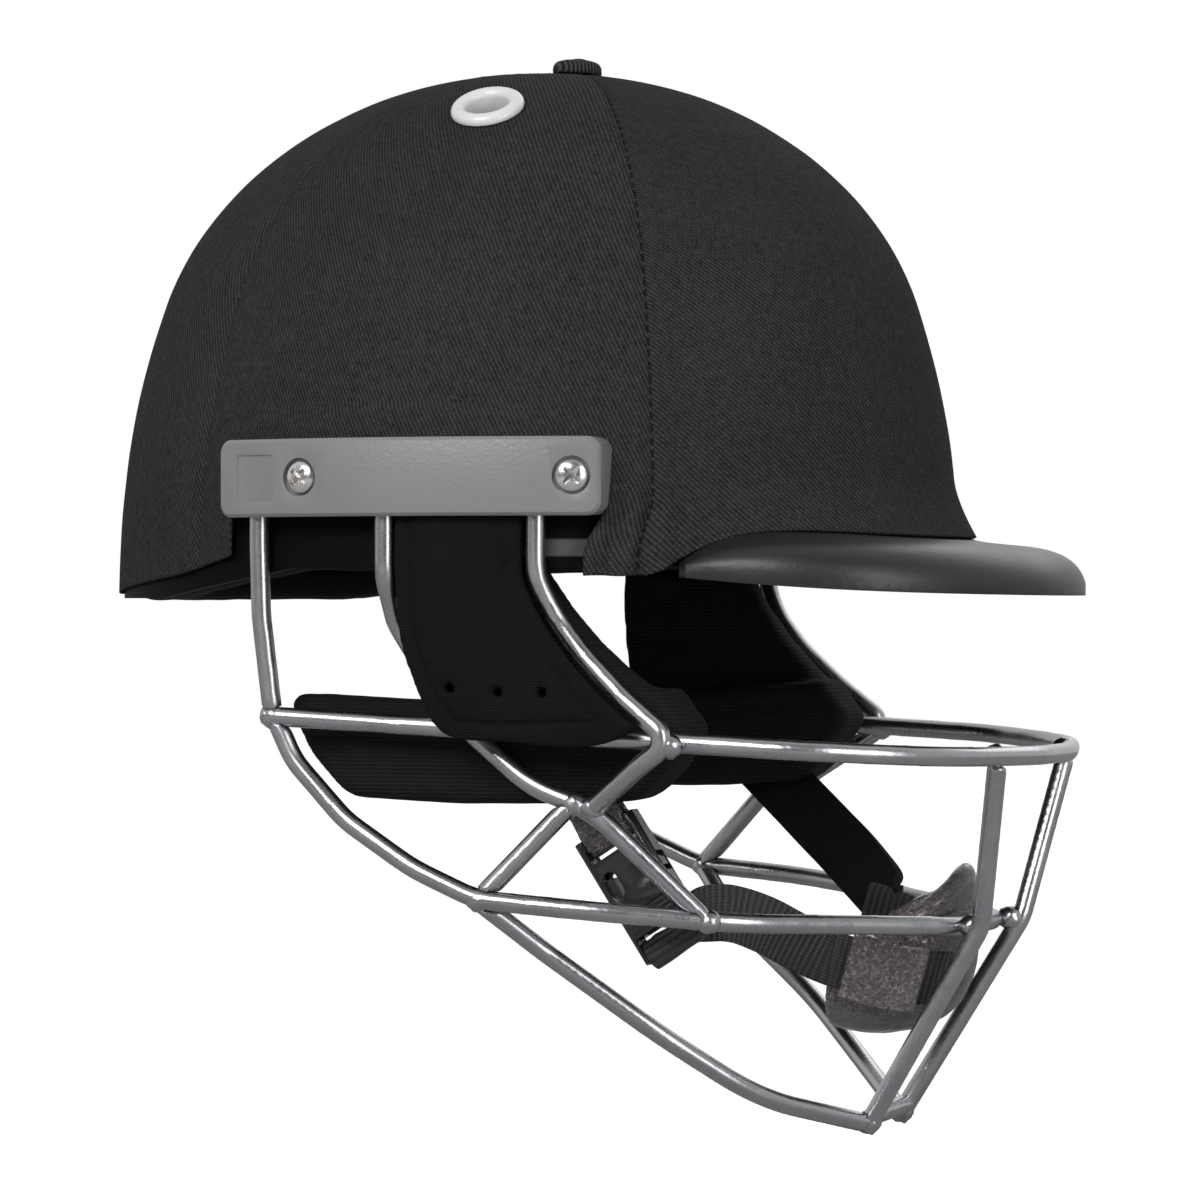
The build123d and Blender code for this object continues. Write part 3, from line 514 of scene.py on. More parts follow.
def domeCentres():
    side = Vector((dome["halfWidth"] - dome["sideArc"], 0))
    crown = Vector((0, dome["height"] - dome["crownArc"]))
    reachSide, reachCrown = dome["sideArc"] - dome["haunchArc"], dome["crownArc"] - dome["haunchArc"]
    span = crown - side
    along = (reachSide ** 2 - reachCrown ** 2 + span.length ** 2) / (2 * span.length)
    unit = span.normalized()
    haunch = side + unit * along + Vector((-unit.y, unit.x)) * sqrt(reachSide ** 2 - along ** 2)
    return side, haunch, crown


sideCentre, haunchCentre, crownCentre = domeCentres()
haunchLow = sideCentre.y + (haunchCentre - sideCentre).normalized().y * dome["sideArc"]
haunchHigh = haunchCentre.y + (haunchCentre - crownCentre).normalized().y * dome["haunchArc"]


def domeRadius(z, grow=0.0):
    # half width of the dome at a height; nothing above its top
    if z < 0:
        return dome["halfWidth"] + grow
    if z < haunchLow:
        centre, radius = sideCentre, dome["sideArc"]
    elif z < haunchHigh:
        centre, radius = haunchCentre, dome["haunchArc"]
    else:
        centre, radius = crownCentre, dome["crownArc"]
    inside = (radius + grow) ** 2 - (z - centre.y) ** 2
    return centre.x + sqrt(inside) if inside > 0 else -1


def domePoint(turn, z, grow):
    # the dome's point at a height, on the upright plane through the button at an angle
    c, s = cos(turn), sin(turn)
    offset = dome["button"] - z * domeLean
    a = (c / domeStretch) ** 2 + s * s
    b = 2 * offset * c / domeStretch ** 2
    inside = b * b - 4 * a * ((offset / domeStretch) ** 2 - domeRadius(z, grow) ** 2)
    reach = (-b + sqrt(max(0, inside))) / (2 * a)
    return Vector((dome["button"] + reach * c, reach * s, z))


def domeRay(turn, tilt, grow):
    # the dome's point along a ray from inside, tilted from the upright
    way = Vector((sin(tilt) * cos(turn), sin(tilt) * sin(turn), cos(tilt)))
    start = Vector((dome["button"], 0, domeRays["base"]))
    near, far = domeRays["near"], domeRays["far"]
    for _ in range(domeRays["halvings"]):
        middle = (near + far) / 2
        p = start + way * middle
        if hypot((p.x - p.z * domeLean) / domeStretch, p.y) < domeRadius(p.z, grow):
            near = middle
        else:
            far = middle
    return start + way * near


def domeNormal(p):
    step, tilt = domeNormals["step"], domeNormals["capTilt"]
    slope = (domeRadius(p.z + step) - domeRadius(p.z - step)) / (2 * step) if p.z > domeNormals["foot"] else 0
    across = Vector(((p.x - p.z * domeLean) / domeStretch ** 2, p.y, 0))
    if across.length < domeNormals["cap"]:
        return Vector((across.x * tilt, across.y * tilt, 1)).normalized()
    flat = across.normalized()
    return Vector((flat.x, flat.y, -slope)).normalized()


# cloth cover: four gores sewn together under the button and drawn down over the shell.
# seams are in degrees round the button, depths and leans are one to a seam and one to a gore
cover = {"seams": (-58.0, 58.0, 133.0, 227.0), "depths": (0.7, 0.7, 0.25, 0.25),
         "leans": (0.84, 0.55, 0.7, 0.55), "columns": 66, "rows": 84, "lowRows": 30, "bandTop": 0.024,
         "inner": 0.0003, "thickness": 0.0011, "groove": 0.0008, "grooveWidth": 0.0010, "puff": 0.0005,
         "puffSpan": (0.0036, 0.0022), "weakSeam": 0.0006, "eyeletHole": 0.0080, "eyeletNear": 0.02,
         "fade": (0.004, 0.03), "pucker": (0.75, 0.35), "grooveFade": (0.4, 0.6)}
coverSeams = cover["seams"] + (cover["seams"][0] + 360,)
# where the side plates stand, and how high the cloth behind them ends
plateSpan = {"rear": -0.0525, "front": 0.0545, "hem": 0.020}
# the hem: heights at the nape, its rest on the peak, and how its steps are evened out
hemTable = ((-0.13, -0.0066), (-0.115, -0.0062), (-0.095, -0.0035), (-0.073, -0.0008), (-0.052, 0.0045))
hem = {"probe": 0.004, "reach": 0.0045, "above": 0.04, "onPeak": 0.0002, "offPeak": -0.0015,
       "evenBelow": 0.019, "drop": 0.0004}
# unevenness of the cloth: scale and height
coverWaves = ((28, 0.00022), (90, 0.00009))
# the crease over the side plate
creaseTable = ((-0.062, 0.0365), (-0.050, 0.0400), (-0.036, 0.0428), (-0.014, 0.0446), (0.012, 0.0446),
               (0.032, 0.0424), (0.048, 0.0398), (0.058, 0.0372))
crease = {"rear": (-0.064, -0.046), "front": (0.046, 0.060), "top": 0.060, "lift": 0.0017,
          "ledge": (0.0018, 0.0004), "pinch": 0.0004, "pinchPlace": 0.0010, "pinchWidth": 0.0010}
# the lobe between plate and peak: its shift to the rear, and folds as place, width and height
lobe = {"rear": 0.048, "front": 0.086, "foot": 0.008, "top": 0.034, "swayTop": 0.031, "sway": 0.22,
        "swayFrom": 0.075, "swayOver": 0.02, "shift": 0.0070, "shiftRise": (0.003, 0.021), "shiftEnd": 0.080,
        "shiftLimit": 0.082, "girth": 0.1}
lobeFolds = ((0.0570, 0.0017, 0.0012), (0.0598, 0.0014, -0.0009), (0.0630, 0.0019, 0.0021),
             (0.0664, 0.0014, -0.0009), (0.0692, 0.0018, 0.0015), (0.0724, 0.0014, -0.0006))
# the flare onto the peak, less towards the sides
flare = {"start": 0.0255, "end": 0.0105, "lift": 0.0048, "most": 1.3, "power": 1.6, "sideCut": 0.72,
         "sides": (radians(30), radians(47))}
peakTree = BVHTree.FromBMesh(fromNode("peak"))


def hemHeight(p):
    # lower edge of the cloth at a point: resting on the peak in front, following the table at the nape
    if p.x < plateSpan["rear"]:
        return between(p.x, hemTable)
    if p.x < plateSpan["front"]:
        return plateSpan["hem"]
    away = Vector((p.x, p.y, 0)).normalized() * hem["reach"]
    hit = peakTree.ray_cast(Vector((p.x + away.x, p.y + away.y, hem["above"])), Vector((0, 0, -1)))
    return hit[0].z + hem["onPeak"] if hit[0] is not None else hem["offPeak"]


def coverColumns():
    # turn of each column, closer together at the seams, with its gore
    columns = []
    for gore, (start, stop) in enumerate(zip(coverSeams, coverSeams[1:])):
        for i in range(cover["columns"]):
            u = 2 * i / cover["columns"] - 1
            share = 0.5 * sin(u * pi / 2) + 0.5 * u
            columns.append((radians((start + stop) / 2 + (stop - start) / 2 * share), gore))
    return columns


def coverHems(columns):
    # height of the hem at each column, evened out away from the plates
    hems = [hemHeight(domePoint(turn, hem["probe"], cover["inner"])) for turn, _ in columns]
    even = list(hems)
    for column, height in enumerate(hems):
        near = [hems[(column + k) % len(hems)] for k in (-2, -1, 0, 1, 2)]
        if max(near) < hem["evenBelow"]:
            even[column] = max(height - hem["drop"], sum(near) / len(near))
    return even


def seamRelief(p, seamGap, along, depth):
    # sewn groove, puckered puffs beside it and the cloth's own unevenness
    fade = ease(along, *cover["fade"])
    pucker = cover["pucker"][0] + cover["pucker"][1] * sin(along * 2 * pi / twill["stitch"]) * fade
    sunk = cover["grooveFade"][0] + cover["grooveFade"][1] * fade
    lift = -cover["groove"] * depth * bump(seamGap, 0, cover["grooveWidth"]) * sunk
    lift += cover["puff"] * depth * bump(abs(seamGap), *cover["puffSpan"]) * pucker * fade
    for scale, height in coverWaves:
        lift += height * noise.noise(p * scale)
    return lift


def creaseRelief(p):
    if not (crease["rear"][0] < p.x < crease["front"][1] and p.z < crease["top"]):
        return 0.0
    height = between(p.x, creaseTable)
    ends = ease(p.x, *crease["rear"]) * (1 - ease(p.x, *crease["front"]))
    below = 1 - ease(p.z, height - crease["ledge"][0], height + crease["ledge"][1])
    pinch = crease["pinch"] * bump(p.z, height + crease["pinchPlace"], crease["pinchWidth"])
    return ends * (crease["lift"] * below - pinch)


def lobeRelief(p):
    if not (lobe["rear"] < p.x < lobe["front"] and p.z < lobe["top"]):
        return 0.0
    low = 1 - ease(p.z, lobe["foot"], lobe["top"])
    sway = (lobe["swayTop"] - p.z) * lobe["sway"]
    lift = 0.0
    for middle, width, fold in lobeFolds:
        lift += fold * low * bump(p.x, middle - sway * (lobe["swayFrom"] - middle) / lobe["swayOver"], width)
    return lift


def flareRelief(p):
    if p.x <= 0 or p.z >= flare["start"]:
        return 0.0
    share = (flare["start"] - p.z) / (flare["start"] - flare["end"])
    sideways = ease(atan2(abs(p.y), p.x), *flare["sides"])
    return flare["lift"] * min(flare["most"], share) ** flare["power"] * (1 - flare["sideCut"] * sideways)


def coverPoint(row, turn, band, height, limit):
    # a point of the cover's inner face: rays over the crown, then level rows down to the hem
    if row <= cover["rows"]:
        return domeRay(turn, limit * row / cover["rows"], cover["inner"])
    z = cover["bandTop"] + (height - cover["bandTop"]) * (row - cover["rows"]) / cover["lowRows"]
    if plateSpan["front"] <= band.x < lobe["shiftLimit"]:
        drop = 1 - ease(z, *lobe["shiftRise"])
        back = lobe["shift"] * drop * (1 - ease(band.x, plateSpan["front"], lobe["shiftEnd"]))
        turn += back / lobe["girth"] if turn % fullTurn < pi else -back / lobe["girth"]
    return domePoint(turn, z, cover["inner"])


def nearestSeam(turn, reach):
    # gap to the nearest seam and that seam's depth
    return min((abs((turn - radians(seam) + pi) % fullTurn - pi) * reach, depth)
               for seam, depth in zip(cover["seams"], cover["depths"]))


def coverSpots(columns):
    # place, push outwards, length down and seam gap of each grid point, and the columns behind the plates
    spots, hidden = {}, set()
    hems = coverHems(columns)
    for column in range(len(columns) + 1):
        turn = columns[column % len(columns)][0]
        band = domePoint(turn, cover["bandTop"], cover["inner"])
        limit = atan2(hypot(band.x - dome["button"], band.y), cover["bandTop"] - domeRays["base"])
        if plateSpan["rear"] < band.x < plateSpan["front"]:
            hidden.add(column % len(columns))
        along, last = 0.0, None
        for row in range(cover["rows"] + cover["lowRows"] + 1):
            p = coverPoint(row, turn, band, hems[column % len(columns)], limit)
            along += (p - last).length if last is not None else 0
            last = p.copy()
            gap, depth = nearestSeam(turn, hypot(p.x - dome["button"], p.y))
            push = seamRelief(p, gap, along, depth) + creaseRelief(p) + lobeRelief(p) + flareRelief(p)
            spots[(row, column)] = (p, push, along, gap + cover["weakSeam"] * (1 - depth))
    return spots, hidden


def layWeave(bm, where, spots, columns):
    # UV maps of the weave, across and along its ribs, and of the nearest seam
    uvs = bm.loops.layers.uv.new("weave")
    seamUvs = bm.loops.layers.uv.new("seam")
    for face in bm.faces:
        keys = [where[loop.vert.index] for loop in face.loops]
        gore = columns[int(sum(key[1] for key in keys) / len(keys)) % len(columns)][1]
        centre, lean = radians((coverSeams[gore] + coverSeams[gore + 1]) / 2), cover["leans"][gore]
        for loop, (row, column) in zip(face.loops, keys):
            p, _, along, gap = spots[(row, column)]
            turn = columns[column][0] if column < len(columns) else columns[0][0] + fullTurn
            side = (turn - centre) * hypot(p.x - dome["button"], p.y)
            loop[uvs].uv = ((side - lean * along) * cos(atan(lean)), (side * lean + along) * cos(atan(lean)))
            loop[seamUvs].uv = (gap, along)


def offAxis(co, axis):
    # the way out from an eyelet's axis to a point near it
    middle, way = axis
    off = co - middle
    return off - way * off.dot(way) if off.length < cover["eyeletNear"] else Vector((1, 0, 0))


def openEyelets(bm, places):
    # a round hole in the cloth under each eyelet's flange
    hole = cover["eyeletHole"]
    for side in sides:
        eyelet = fromNode("vent_eyelet_" + side)
        middle = sum((vert.co for vert in eyelet.verts), Vector()) / len(eyelet.verts)
        eyelet.free()
        axis = (middle, domeNormal(min(places, key=lambda p: (p - middle).length)))
        inside = [face for face in bm.faces
                  if all(offAxis(vert.co, axis).length < hole for vert in face.verts)]
        bmesh.ops.delete(bm, geom=inside, context="FACES")
        for vert in bm.verts:
            out = offAxis(vert.co, axis)
            if out.length < hole:
                vert.co += out.normalized() * (hole - out.length)


def makeCover():
    columns = coverColumns()
    count, total = len(columns), cover["rows"] + cover["lowRows"]
    spots, hidden = coverSpots(columns)
    bm, where = openGrid(total, count)
    where = {index: (row, round(share * count)) for index, (row, share) in where.items()}
    layWeave(bm, where, spots, columns)
    for vert in bm.verts:
        p, push, _, _ = spots[where[vert.index]]
        vert.co = p + domeNormal(p) * (push + cover["thickness"])
    gone = [face for face in bm.faces
            if all(where[vert.index][0] >= cover["rows"] for vert in face.verts)
            and any(where[vert.index][1] % count in hidden for vert in face.verts)]
    bmesh.ops.delete(bm, geom=gone, context="FACES")
    openEyelets(bm, [spot[0] for spot in spots.values()])
    bmesh.ops.remove_doubles(bm, verts=bm.verts, dist=2 * mergeGap)
    bmesh.ops.recalc_face_normals(bm, faces=bm.faces)
    flat = sum(face.calc_area() for face in bm.faces)
    piece = newPiece("clothCover", bm)
    piece.data.materials.append(finishes["twillCloth"])
    addModifier(piece, "SOLIDIFY", thickness=cover["thickness"], offset=-1, use_rim=True)
    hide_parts("cloth_cover")
    print("cloth cover:", len(piece.data.polygons), "faces, flat area", round(flat, 4))


makeCover()


def softCopy(name, nodeName, finish, slot, voxel, rounds, sculpt, body="helmet", fill=None):
    # a padded piece: the CAD solid's copy, remeshed, rounded, then sculpted point by point
    piece = linked(name, meshFrom(name, fromNode(nodeName)))
    addModifier(piece, "REMESH", mode="VOXEL", voxel_size=voxel)
    addModifier(piece, "SMOOTH", factor=0.5, iterations=rounds)
    workIn(piece)
    normals = [vert.normal.copy() for vert in piece.data.vertices]
    for vert, normal in zip(piece.data.vertices, normals):
        vert.co = sculpt(vert.co.copy(), normal)
    shadeSmooth(piece.data)
    piece.data.materials.clear()
    piece.data.materials.append(finishes[finish])
    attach(piece, body)
    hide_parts(nodeName)


def swelled(amount, wrinkle=0.0002, scale=60):
    # plain sculpt: a little fuller all over, with soft unevenness
    def shape(co, normal):
        return co + normal * (amount + wrinkle * noise.noise(co * scale))
    return shape


def lineGap(x, z, line):
    # distance from a point to a run of straight lines
    gaps = []
    for (ax, az), (bx, bz) in zip(line, line[1:]):
        dx, dz = bx - ax, bz - az
        t = min(1, max(0, ((x - ax) * dx + (z - az) * dz) / (dx * dx + dz * dz)))
        gaps.append(hypot(x - ax - t * dx, z - az - t * dz))
    return min(gaps)


# cheek pads: crowned knit pads with a sewn channel round the outer face, seen from the side as x and z.
# from here a seam, groove or rim is given as its height, place and width
cheekPad = {"voxel": 0.0017, "rounds": 9, "swell": 0.0009, "crown": (0.002, 0.014), "seamTop": -0.034,
            "seam": (0.0010, 0.0068, 0.0011), "tip": 0.0065, "tipSpan": (0.060, 0.082), "sag": 0.0012,
            "sagRear": (-0.03, 0.01), "sagFront": (0.02, 0.06), "sagRise": (-0.061, -0.050)}
cheekLine = ((-0.043, -0.0335), (0.008, -0.036), (0.069, -0.0315), (0.0825, -0.0425), (0.073, -0.0525),
             (0.058, -0.062), (-0.024, -0.062), (-0.035, -0.050), (-0.043, -0.0335))
cheekWaves = ((45, 0.0003), (150, 0.00012))


def cheekShape(co, normal):
    gap = lineGap(co.x, co.z, cheekLine)
    flat = abs(normal.y) ** 2
    lift = cheekPad["swell"] * ease(gap, *cheekPad["crown"]) * flat
    for scale, height in cheekWaves:
        lift += height * noise.noise(co * scale)
    if co.z < cheekPad["seamTop"]:
        lift -= ridge(gap, *cheekPad["seam"]) * flat
    if co.x > cheekPad["tipSpan"][0]:
        co.x -= cheekPad["tip"] * ease(co.x, *cheekPad["tipSpan"])
    hollow = ease(co.x, *cheekPad["sagRear"]) * (1 - ease(co.x, *cheekPad["sagFront"]))
    sag = cheekPad["sag"] * hollow * (1 - ease(co.z, *cheekPad["sagRise"]))
    return co + normal * lift + Vector((0, 0, -sag))


# ear flaps: thin foam panels with a bound front edge and punched vents
earFlap = {"voxel": 0.0009, "rounds": 5, "groove": (0.0009, 0.0044, 0.0007), "swell": 0.0005,
           "crown": (0.001, 0.009), "waveScale": 70, "wave": 0.00018}
flapEdge = ((0.0339, -0.001), (0.0373, -0.010), (0.0454, -0.022), (0.0562, -0.0335), (0.066, -0.0414))
flapRear = ((-0.0006, 0.010), (-0.0006, -0.008), (0.0012, -0.021), (0.0058, -0.034), (0.0135, -0.0444),
            (0.027, -0.0456), (0.062, -0.0444))


def flapShape(co, normal):
    edge = min(lineGap(co.x, co.z, flapEdge), lineGap(co.x, co.z, flapRear))
    flat = abs(normal.y) ** 2
    lift = earFlap["swell"] * ease(edge, *earFlap["crown"]) * flat - ridge(edge, *earFlap["groove"]) * flat
    return co + normal * (lift + earFlap["wave"] * noise.noise(co * earFlap["waveScale"]))


# comfort pads inside and the button: CAD node, voxel, rounds of smoothing and sculpt
templePad = (0.0016, 8, swelled(0.0007))
comfortPads = {"headBand": ("headband", 0.0020, 8, swelled(0.0004, 0.0004, 80)),
               "browPad": ("brow_pad", *templePad), "napePad": ("nape_pad", *templePad),
               "crownPad": ("crown_pad", 0.0014, 6, swelled(0.0005))}
buttonTop = (0.0005, 3, swelled(0.0001, 0.00025, 260))


def makePads():
    for side in sides:
        softCopy("cheekPad" + side.title(), "cheek_pad_" + side, "padKnit", "cheek_foam", cheekPad["voxel"],
                 cheekPad["rounds"], cheekShape, fill=0.7)
        softCopy("earFlap" + side.title(), "ear_flap_" + side, "flapKnit", "flap_foam", earFlap["voxel"],
                 earFlap["rounds"], flapShape, fill=0.9)
        softCopy("templePad" + side.title(), "temple_pad_" + side, "liningKnit", "padding",
                 *templePad, fill=0.7)
    for name, (nodeName, voxel, rounds, sculpt) in comfortPads.items():
        softCopy(name, nodeName, "liningKnit", "padding", voxel, rounds, sculpt, fill=0.7)
    softCopy("crownButton", "crown_button", "buttonCloth", "cover_cloth", *buttonTop, fill=1.0)
    print("padded pieces made")


makePads()


def smoothRun(points, steps):
    # a soft curve through points: place at each step, tangents from the neighbours
    run = []
    for i in range(len(points) - 1):
        a, b = points[i], points[i + 1]
        before = points[i - 1] if i else a * 2 - b
        after = points[i + 2] if i + 2 < len(points) else b * 2 - a
        for k in range(steps):
            t = k / steps
            run.append((a * 2 + (b - before) * t + (before * 2 - a * 5 + b * 4 - after) * t * t
                        + (a * 3 - before - b * 3 + after) * t ** 3) * 0.5)
    return run + [points[-1].copy()]


strapMesh = {"columns": 10, "bevel": radians(50), "along": 60, "across": 1.5, "start": 0.3}


def makeStrap(name, stations, strap, finish, replaced, body="helmet"):
    # a flat strap along its stations, each a place with the way across it, laid out for its weave
    run = smoothRun([place for place, _ in stations], strap["steps"])
    acrossRun = smoothRun([across for _, across in stations], strap["steps"])
    last = len(run) - 1
    bm, where = openGrid(last, strapMesh["columns"])
    uvs = bm.loops.layers.uv.new("weave")
    lengths = [0.0]
    for a, b in zip(run, run[1:]):
        lengths.append(lengths[-1] + (b - a).length)
    for face in bm.faces:
        for loop in face.loops:
            i, share = where[loop.vert.index]
            loop[uvs].uv = (lengths[i], (share - 0.5) * strap["width"])
    for vert in bm.verts:
        i, share = where[vert.index]
        forward = (run[min(i + 1, last)] - run[max(i - 1, 0)]).normalized()
        across = acrossRun[i].normalized()
        across = (across - forward * across.dot(forward)).normalized()
        up = forward.cross(across)
        spot = Vector((lengths[i] * strapMesh["along"], share * strapMesh["across"], strapMesh["start"]))
        beside = across * ((share - 0.5) * strap["width"])
        vert.co = run[i] + beside + up * (strap["wave"] * noise.noise(spot))
    piece = newPiece(name, bm, body)
    piece.data.materials.append(finishes[finish])
    addModifier(piece, "SOLIDIFY", thickness=strap["thickness"], offset=0)
    addModifier(piece, "BEVEL", width=strap["edge"], segments=2, limit_method="ANGLE",
                angle_limit=strapMesh["bevel"])
    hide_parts(replaced)
    return piece


# buckle line and cup frame, in metres, as the CAD has them
buckleLine = {"top": Vector((0.0465, -0.069, -0.0696)), "angle": radians(57), "bar": 0.0361}
cup = {"place": Vector((0.099, 0, -0.1026)), "roll": radians(8), "pitch": radians(18), "band": 0.0291,
       "strap": 0.0313}
cupFrame = (Matrix.Translation(cup["place"]) @ Matrix.Rotation(cup["roll"], 4, "X")
            @ Matrix.Rotation(cup["pitch"], 4, "Y"))
cupUp = (cupFrame.to_3x3() @ Vector((0, 0, 1))).normalized()

# webbing: a loop round the plug's bar with the lengths of its tail and lead, then stations on to the cup
webStrap = {"width": 0.0156, "thickness": 0.0014, "edge": 0.0005, "wave": 0.0005, "steps": 7}
webLoop = {"turn": radians(112), "radius": 0.0033, "degrees": (68, 100, 140, 180, 220, 260, 292),
           "tail": ((0.0105, 0.0009), (0.0072, 0.0012)), "lead": ((0.0072, -0.0010), (0.011, -0.0008))}
webStations = (((0.0678, -0.0546, -0.0936), (0.44, 0.0, 0.9)),
               ((0.0750, -0.0486, -0.0934), (-0.1, 0.1, 0.98)),
               ((0.0820, -0.0412, -0.0966), (0.12, 0.08, 0.98)),
               ((0.0887, -0.0340, -0.1014), (0.24, -0.06, 0.96)))
webEnd = (-98, -90)
# band round the cup: its turns in degrees start over the webbing's end
bandStrap = {**webStrap, "wave": 0.0002, "steps": 4, "proud": 0.0002}
bandTurns = range(-91, 110, 8)
# wide strap on the left: its stations, its start behind the cheek pad and its end on the band
sideStrap = {"width": 0.0174, "thickness": 0.0022, "edge": 0.0008, "wave": 0.0006, "steps": 8, "start": 0.5}
sideStations = (((0.0510, 0.0715, -0.0624), (0.68, 0.26, 0.69)),
                ((0.0658, 0.0587, -0.0723), (0.66, 0.22, 0.72)),
                ((0.0790, 0.0474, -0.0813), (0.62, 0.14, 0.77)),
                ((0.0885, 0.0394, -0.0885), (0.53, 0.02, 0.84)),
                ((0.0940, 0.0352, -0.0935), (0.42, -0.08, 0.9)))
sideEnd = (96, 90.5)
# strap tab: voxel, rounds of smoothing and sculpt
strapTab = (0.0006, 3, swelled(0.0, 0.0001, 200))


def roundCup(turn, reach):
    # a place round the cup with the way across the strap there
    angle = radians(turn)
    return cupFrame @ Vector((reach * cos(angle), reach * sin(angle), 0)), cupUp.copy()


def asVectors(stations):
    return [(Vector(place), Vector(across)) for place, across in stations]


def makeWebbingLoop():
    # from its sewn tail round the plug's bar, back over itself and on to the cup
    along = Vector((cos(buckleLine["angle"]), 0, -sin(buckleLine["angle"])))
    over = Vector((sin(buckleLine["angle"]), 0, cos(buckleLine["angle"])))
    out = Vector((0, -1, 0))
    middle = buckleLine["top"] + along * buckleLine["bar"]
    way = along * cos(webLoop["turn"]) - out * sin(webLoop["turn"])
    beside = along * sin(webLoop["turn"]) + out * cos(webLoop["turn"])
    places = [middle + way * a + beside * b for a, b in webLoop["tail"]]
    for degree in webLoop["degrees"]:
        turn = radians(degree)
        places.append(middle + (way * cos(turn) + beside * sin(turn)) * webLoop["radius"])
    places += [middle + way * a + beside * b for a, b in webLoop["lead"]]
    stations = [(place, over.copy()) for place in places] + asVectors(webStations)
    stations += [roundCup(turn, cup["band"]) for turn in webEnd]
    piece = makeStrap("chinWebbing", stations, webStrap, "webbing", "chin_webbing", None)
    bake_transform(piece)


def makeStraps():
    makeWebbingLoop()
    band = [roundCup(turn, cup["band"] + bandStrap["proud"]) for turn in bandTurns]
    makeStrap("cupBand", band, bandStrap, "webbing", "cup_band")
    stations = asVectors(sideStations)
    first, second = stations[0][0], stations[1][0]
    stations.insert(0, (first + (first - second) * sideStrap["start"], stations[0][1].copy()))
    stations += [roundCup(turn, cup["strap"]) for turn in sideEnd]
    makeStrap("sideStrap", stations, sideStrap, "liningKnit", "left_strap")
    softCopy("strapTab", "strap_tab", "strapLeather", "strap_leather", *strapTab)
    print("straps made")


makeStraps()


# chin cup: padded leather bowl, thick at its rim, with a lip that stands up in front, in the cup's own frame
bowl = {"voxel": 0.0009, "rounds": 7, "lip": 0.0082, "lipRise": (0.006, 0.021),
        "lipReach": (0.006, 0.019), "lipAcross": (0.002, 0.013), "rim": (0.0010, 0.0022, 0.0026),
        "rimSlant": (0.002, 0.005), "seam": (0.0007, 0.0066, 0.0009), "rearFade": (0.0, 0.008),
        "chin": 0.0042, "chinReach": (0.0, 0.027), "chinWidth": 0.017, "floor": 0.0018,
        "floorRise": (-0.024, -0.006), "rimTurn": 0.7071}
cupWaves = ((90, 0.0003), (240, 0.0002))
# the near keeper reaches further round the cup than its core
keeper = {"voxel": 0.0005, "rounds": 3, "swell": 0.0001, "wave": 0.0003, "waveScale": 200,
          "middle": radians(-59), "stretch": 1.28}


def bowlShape(co, normal):
    local = cupFrame.inverted() @ co
    up = ease(local.z, *bowl["lipRise"]) * ease(local.x, *bowl["lipReach"])
    lift = bowl["lip"] * up * bump(local.y, *bowl["lipAcross"])
    rimGap = abs((local.x - bowl["rimSlant"][0]) - (local.z - bowl["rimSlant"][1])) * bowl["rimTurn"]
    swell = ridge(rimGap, *bowl["rim"])
    for scale, height in cupWaves:
        swell += height * noise.noise(co * scale)
    swell -= ridge(rimGap, *bowl["seam"])
    swell *= ease(local.x, *bowl["rearFade"])
    front = bowl["chin"] * ease(local.x, *bowl["chinReach"]) * bump(local.y, 0, bowl["chinWidth"])
    raised = bowl["floor"] * (1 - ease(local.z, *bowl["floorRise"]))
    return co + normal * swell + cupUp * (lift + raised) + cupFrame.col[0].to_3d() * front


def nearKeeperShape(co, normal):
    local = cupFrame.inverted() @ co
    turn, reach = atan2(local.y, local.x), hypot(local.x, local.y)
    turn = keeper["middle"] + (turn - keeper["middle"]) * keeper["stretch"]
    local.x, local.y = reach * cos(turn), reach * sin(turn)
    wave = keeper["wave"] * noise.noise(co * keeper["waveScale"])
    return cupFrame @ local + normal * (keeper["swell"] + wave)


def makeCup():
    softCopy("chinCup", "chin_cup", "strapLeather", "strap_leather", bowl["voxel"], bowl["rounds"],
             bowlShape, "chin_cup", fill=0.8)
    farKeeperShape = swelled(keeper["swell"], keeper["wave"], keeper["waveScale"])
    for side, shape in zip(sides, (nearKeeperShape, farKeeperShape)):
        softCopy("cupKeeper" + side.title(), "cup_keeper_" + side, "strapLeather", "strap_leather",
                 keeper["voxel"], keeper["rounds"], shape, "chin_cup")
    print("cup made")


makeCup()


# weld beads where the wires of the guard meet, on both sides
weldBead = {"radius": 0.0033, "wave": 0.0004, "waveScale": 700, "length": 1.12, "width": 0.94}
beadPlaces = ((-0.0407, 0.0944, -0.0398), (0.0495, 0.0879, -0.0636), (0.0742, 0.0970, -0.0466),
              (0.0189, 0.0932, -0.0884), (0.0785, 0.0778, -0.0938), (0.1465, 0.0365, -0.0502),
              (0.1352, 0.0198, -0.0974), (0.1044, 0.0159, -0.1525), (0.0440, 0.0877, -0.0626))


def makeBeads():
    for index, (x, y, z) in enumerate(beadPlaces):
        bm = bmesh.new()
        for sign in (-1, 1):
            made = bmesh.ops.create_icosphere(bm, subdivisions=3, radius=weldBead["radius"])
            for vert in made["verts"]:
                spot = vert.co * weldBead["waveScale"] + Vector((index, sign, 0))
                vert.co += vert.normal * weldBead["wave"] * noise.noise(spot)
                vert.co = Vector((vert.co.x * weldBead["length"] + x,
                                  vert.co.y * weldBead["width"] + sign * y, vert.co.z + z))
        piece = newPiece("weldBeads" + str(index), bm)
        piece.data.materials.append(finishes["guardMetal"])
    print("weld beads made")


makeBeads()


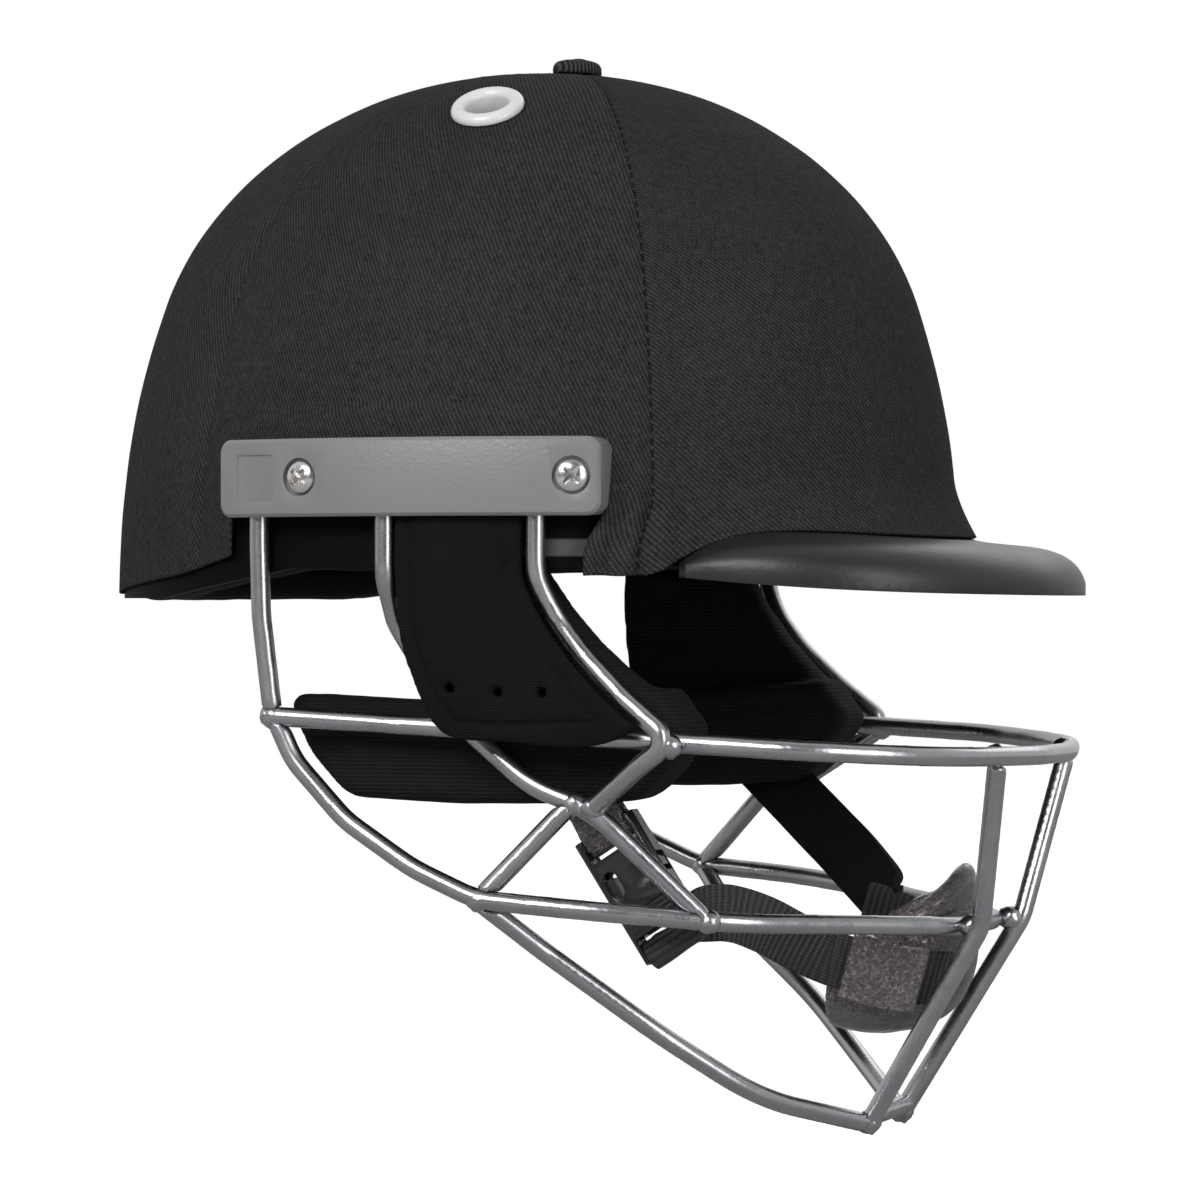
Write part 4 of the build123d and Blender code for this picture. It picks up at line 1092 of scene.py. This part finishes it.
# camera, floor, booth and lamps; azimuth in degrees, lens and sensor in millimetres
view = {"azimuth": 20, "distance": 1.4, "target": (0.0196, 0.0, -0.008), "lens": 147.0, "sensor": 36.0,
        "clip": 20}
viewWay = Vector((sin(radians(view["azimuth"])), -cos(radians(view["azimuth"])), 0))
ground = {"height": -0.158, "half": 3.0, "level": 0.45, "rough": 0.9, "white": 1.12}
booth = {"from": 0.0, "to": 0.75, "sides": 0.36, "front": 0.04, "glossy": 0.40}
# place, size and watts of each lamp
lamps = {"keyLamp": ((-0.3, -2.0, 1.1), (1.3, 0.9), 44),
         "fillLamp": ((1.9, -1.1, 0.5), (0.8, 1.4), 21),
         "backLamp": ((0.4, 1.9, 1.3), (1.8, 1.0), 8)}


def makeCamera():
    data = bpy.data.cameras.new("camera")
    data.lens, data.sensor_width, data.clip_end = view["lens"], view["sensor"], view["clip"]
    camera = linked("camera", data)
    camera.location = Vector(view["target"]) + viewWay * view["distance"]
    camera.rotation_euler = viewWay.to_track_quat("Z", "Y").to_euler()
    bpy.context.scene.camera = camera


def makeFloor():
    # white where it is seen, a plain grey for the light and the shadow
    bm = bmesh.new()
    bmesh.ops.create_grid(bm, x_segments=1, y_segments=1, size=ground["half"])
    bmesh.ops.translate(bm, verts=bm.verts, vec=(0, 0, ground["height"]))
    floor = linked("floor", meshFrom("floor", bm))
    paint = Paint("floorWhite", Base_Color=grey(ground["level"]), Roughness=ground["rough"])
    rays = paint.node("LightPath")
    bright = paint.node("Emission", Color=grey(1), Strength=ground["white"])
    seen = Value(paint, rays.outputs["Is Camera Ray"]) + Value(paint, rays.outputs["Is Transmission Ray"])
    mix = paint.node("MixShader", None, {0: seen, 1: paint.shader.outputs[0], 2: bright.outputs[0]})
    paint.plug(paint.tree.nodes["Material Output"].inputs["Surface"], mix.outputs[0])
    floor.data.materials.append(paint.material)


def makeWorld():
    # white to the camera; for light and reflections a booth that is dark in front and pale at the sides
    world = bpy.data.worlds.new("studio")
    bpy.context.scene.world = world
    world.use_nodes = True
    air = NodeTree(world.node_tree)
    rays = air.node("LightPath")
    facing = air.node("VectorMath", {"operation": "DOT_PRODUCT"}, {0: air.place("Generated"), 1: viewWay})
    pale = Value(air, rays.outputs["Is Glossy Ray"]) * booth["glossy"] + booth["sides"]
    depth = air.node("MapRange", Value=facing.outputs["Value"], From_Min=booth["from"], From_Max=booth["to"],
                     To_Min=pale, To_Max=booth["front"])
    seen = Value(air, rays.outputs["Is Camera Ray"]).calc("MAXIMUM", rays.outputs["Is Transmission Ray"])
    level = air.node("Mix", None, {0: seen, 2: depth.outputs["Result"], 3: 1.0})
    background = air.tree.nodes["Background"]
    air.plug(background.inputs["Strength"], level.outputs[0])
    air.plug(background.inputs["Color"], grey(1))


def makeLamps():
    for name, (place, size, watts) in lamps.items():
        data = bpy.data.lights.new(name, "AREA")
        data.shape, data.size, data.size_y, data.energy = "RECTANGLE", size[0], size[1], watts
        lamp = linked(name, data)
        lamp.location = place
        lamp.rotation_euler = Vector(place).to_track_quat("Z", "Y").to_euler()


makeCamera()
makeFloor()
makeWorld()
makeLamps()
bpy.context.scene.view_settings.view_transform = "Standard"
print("stage set")

print("pieces done")
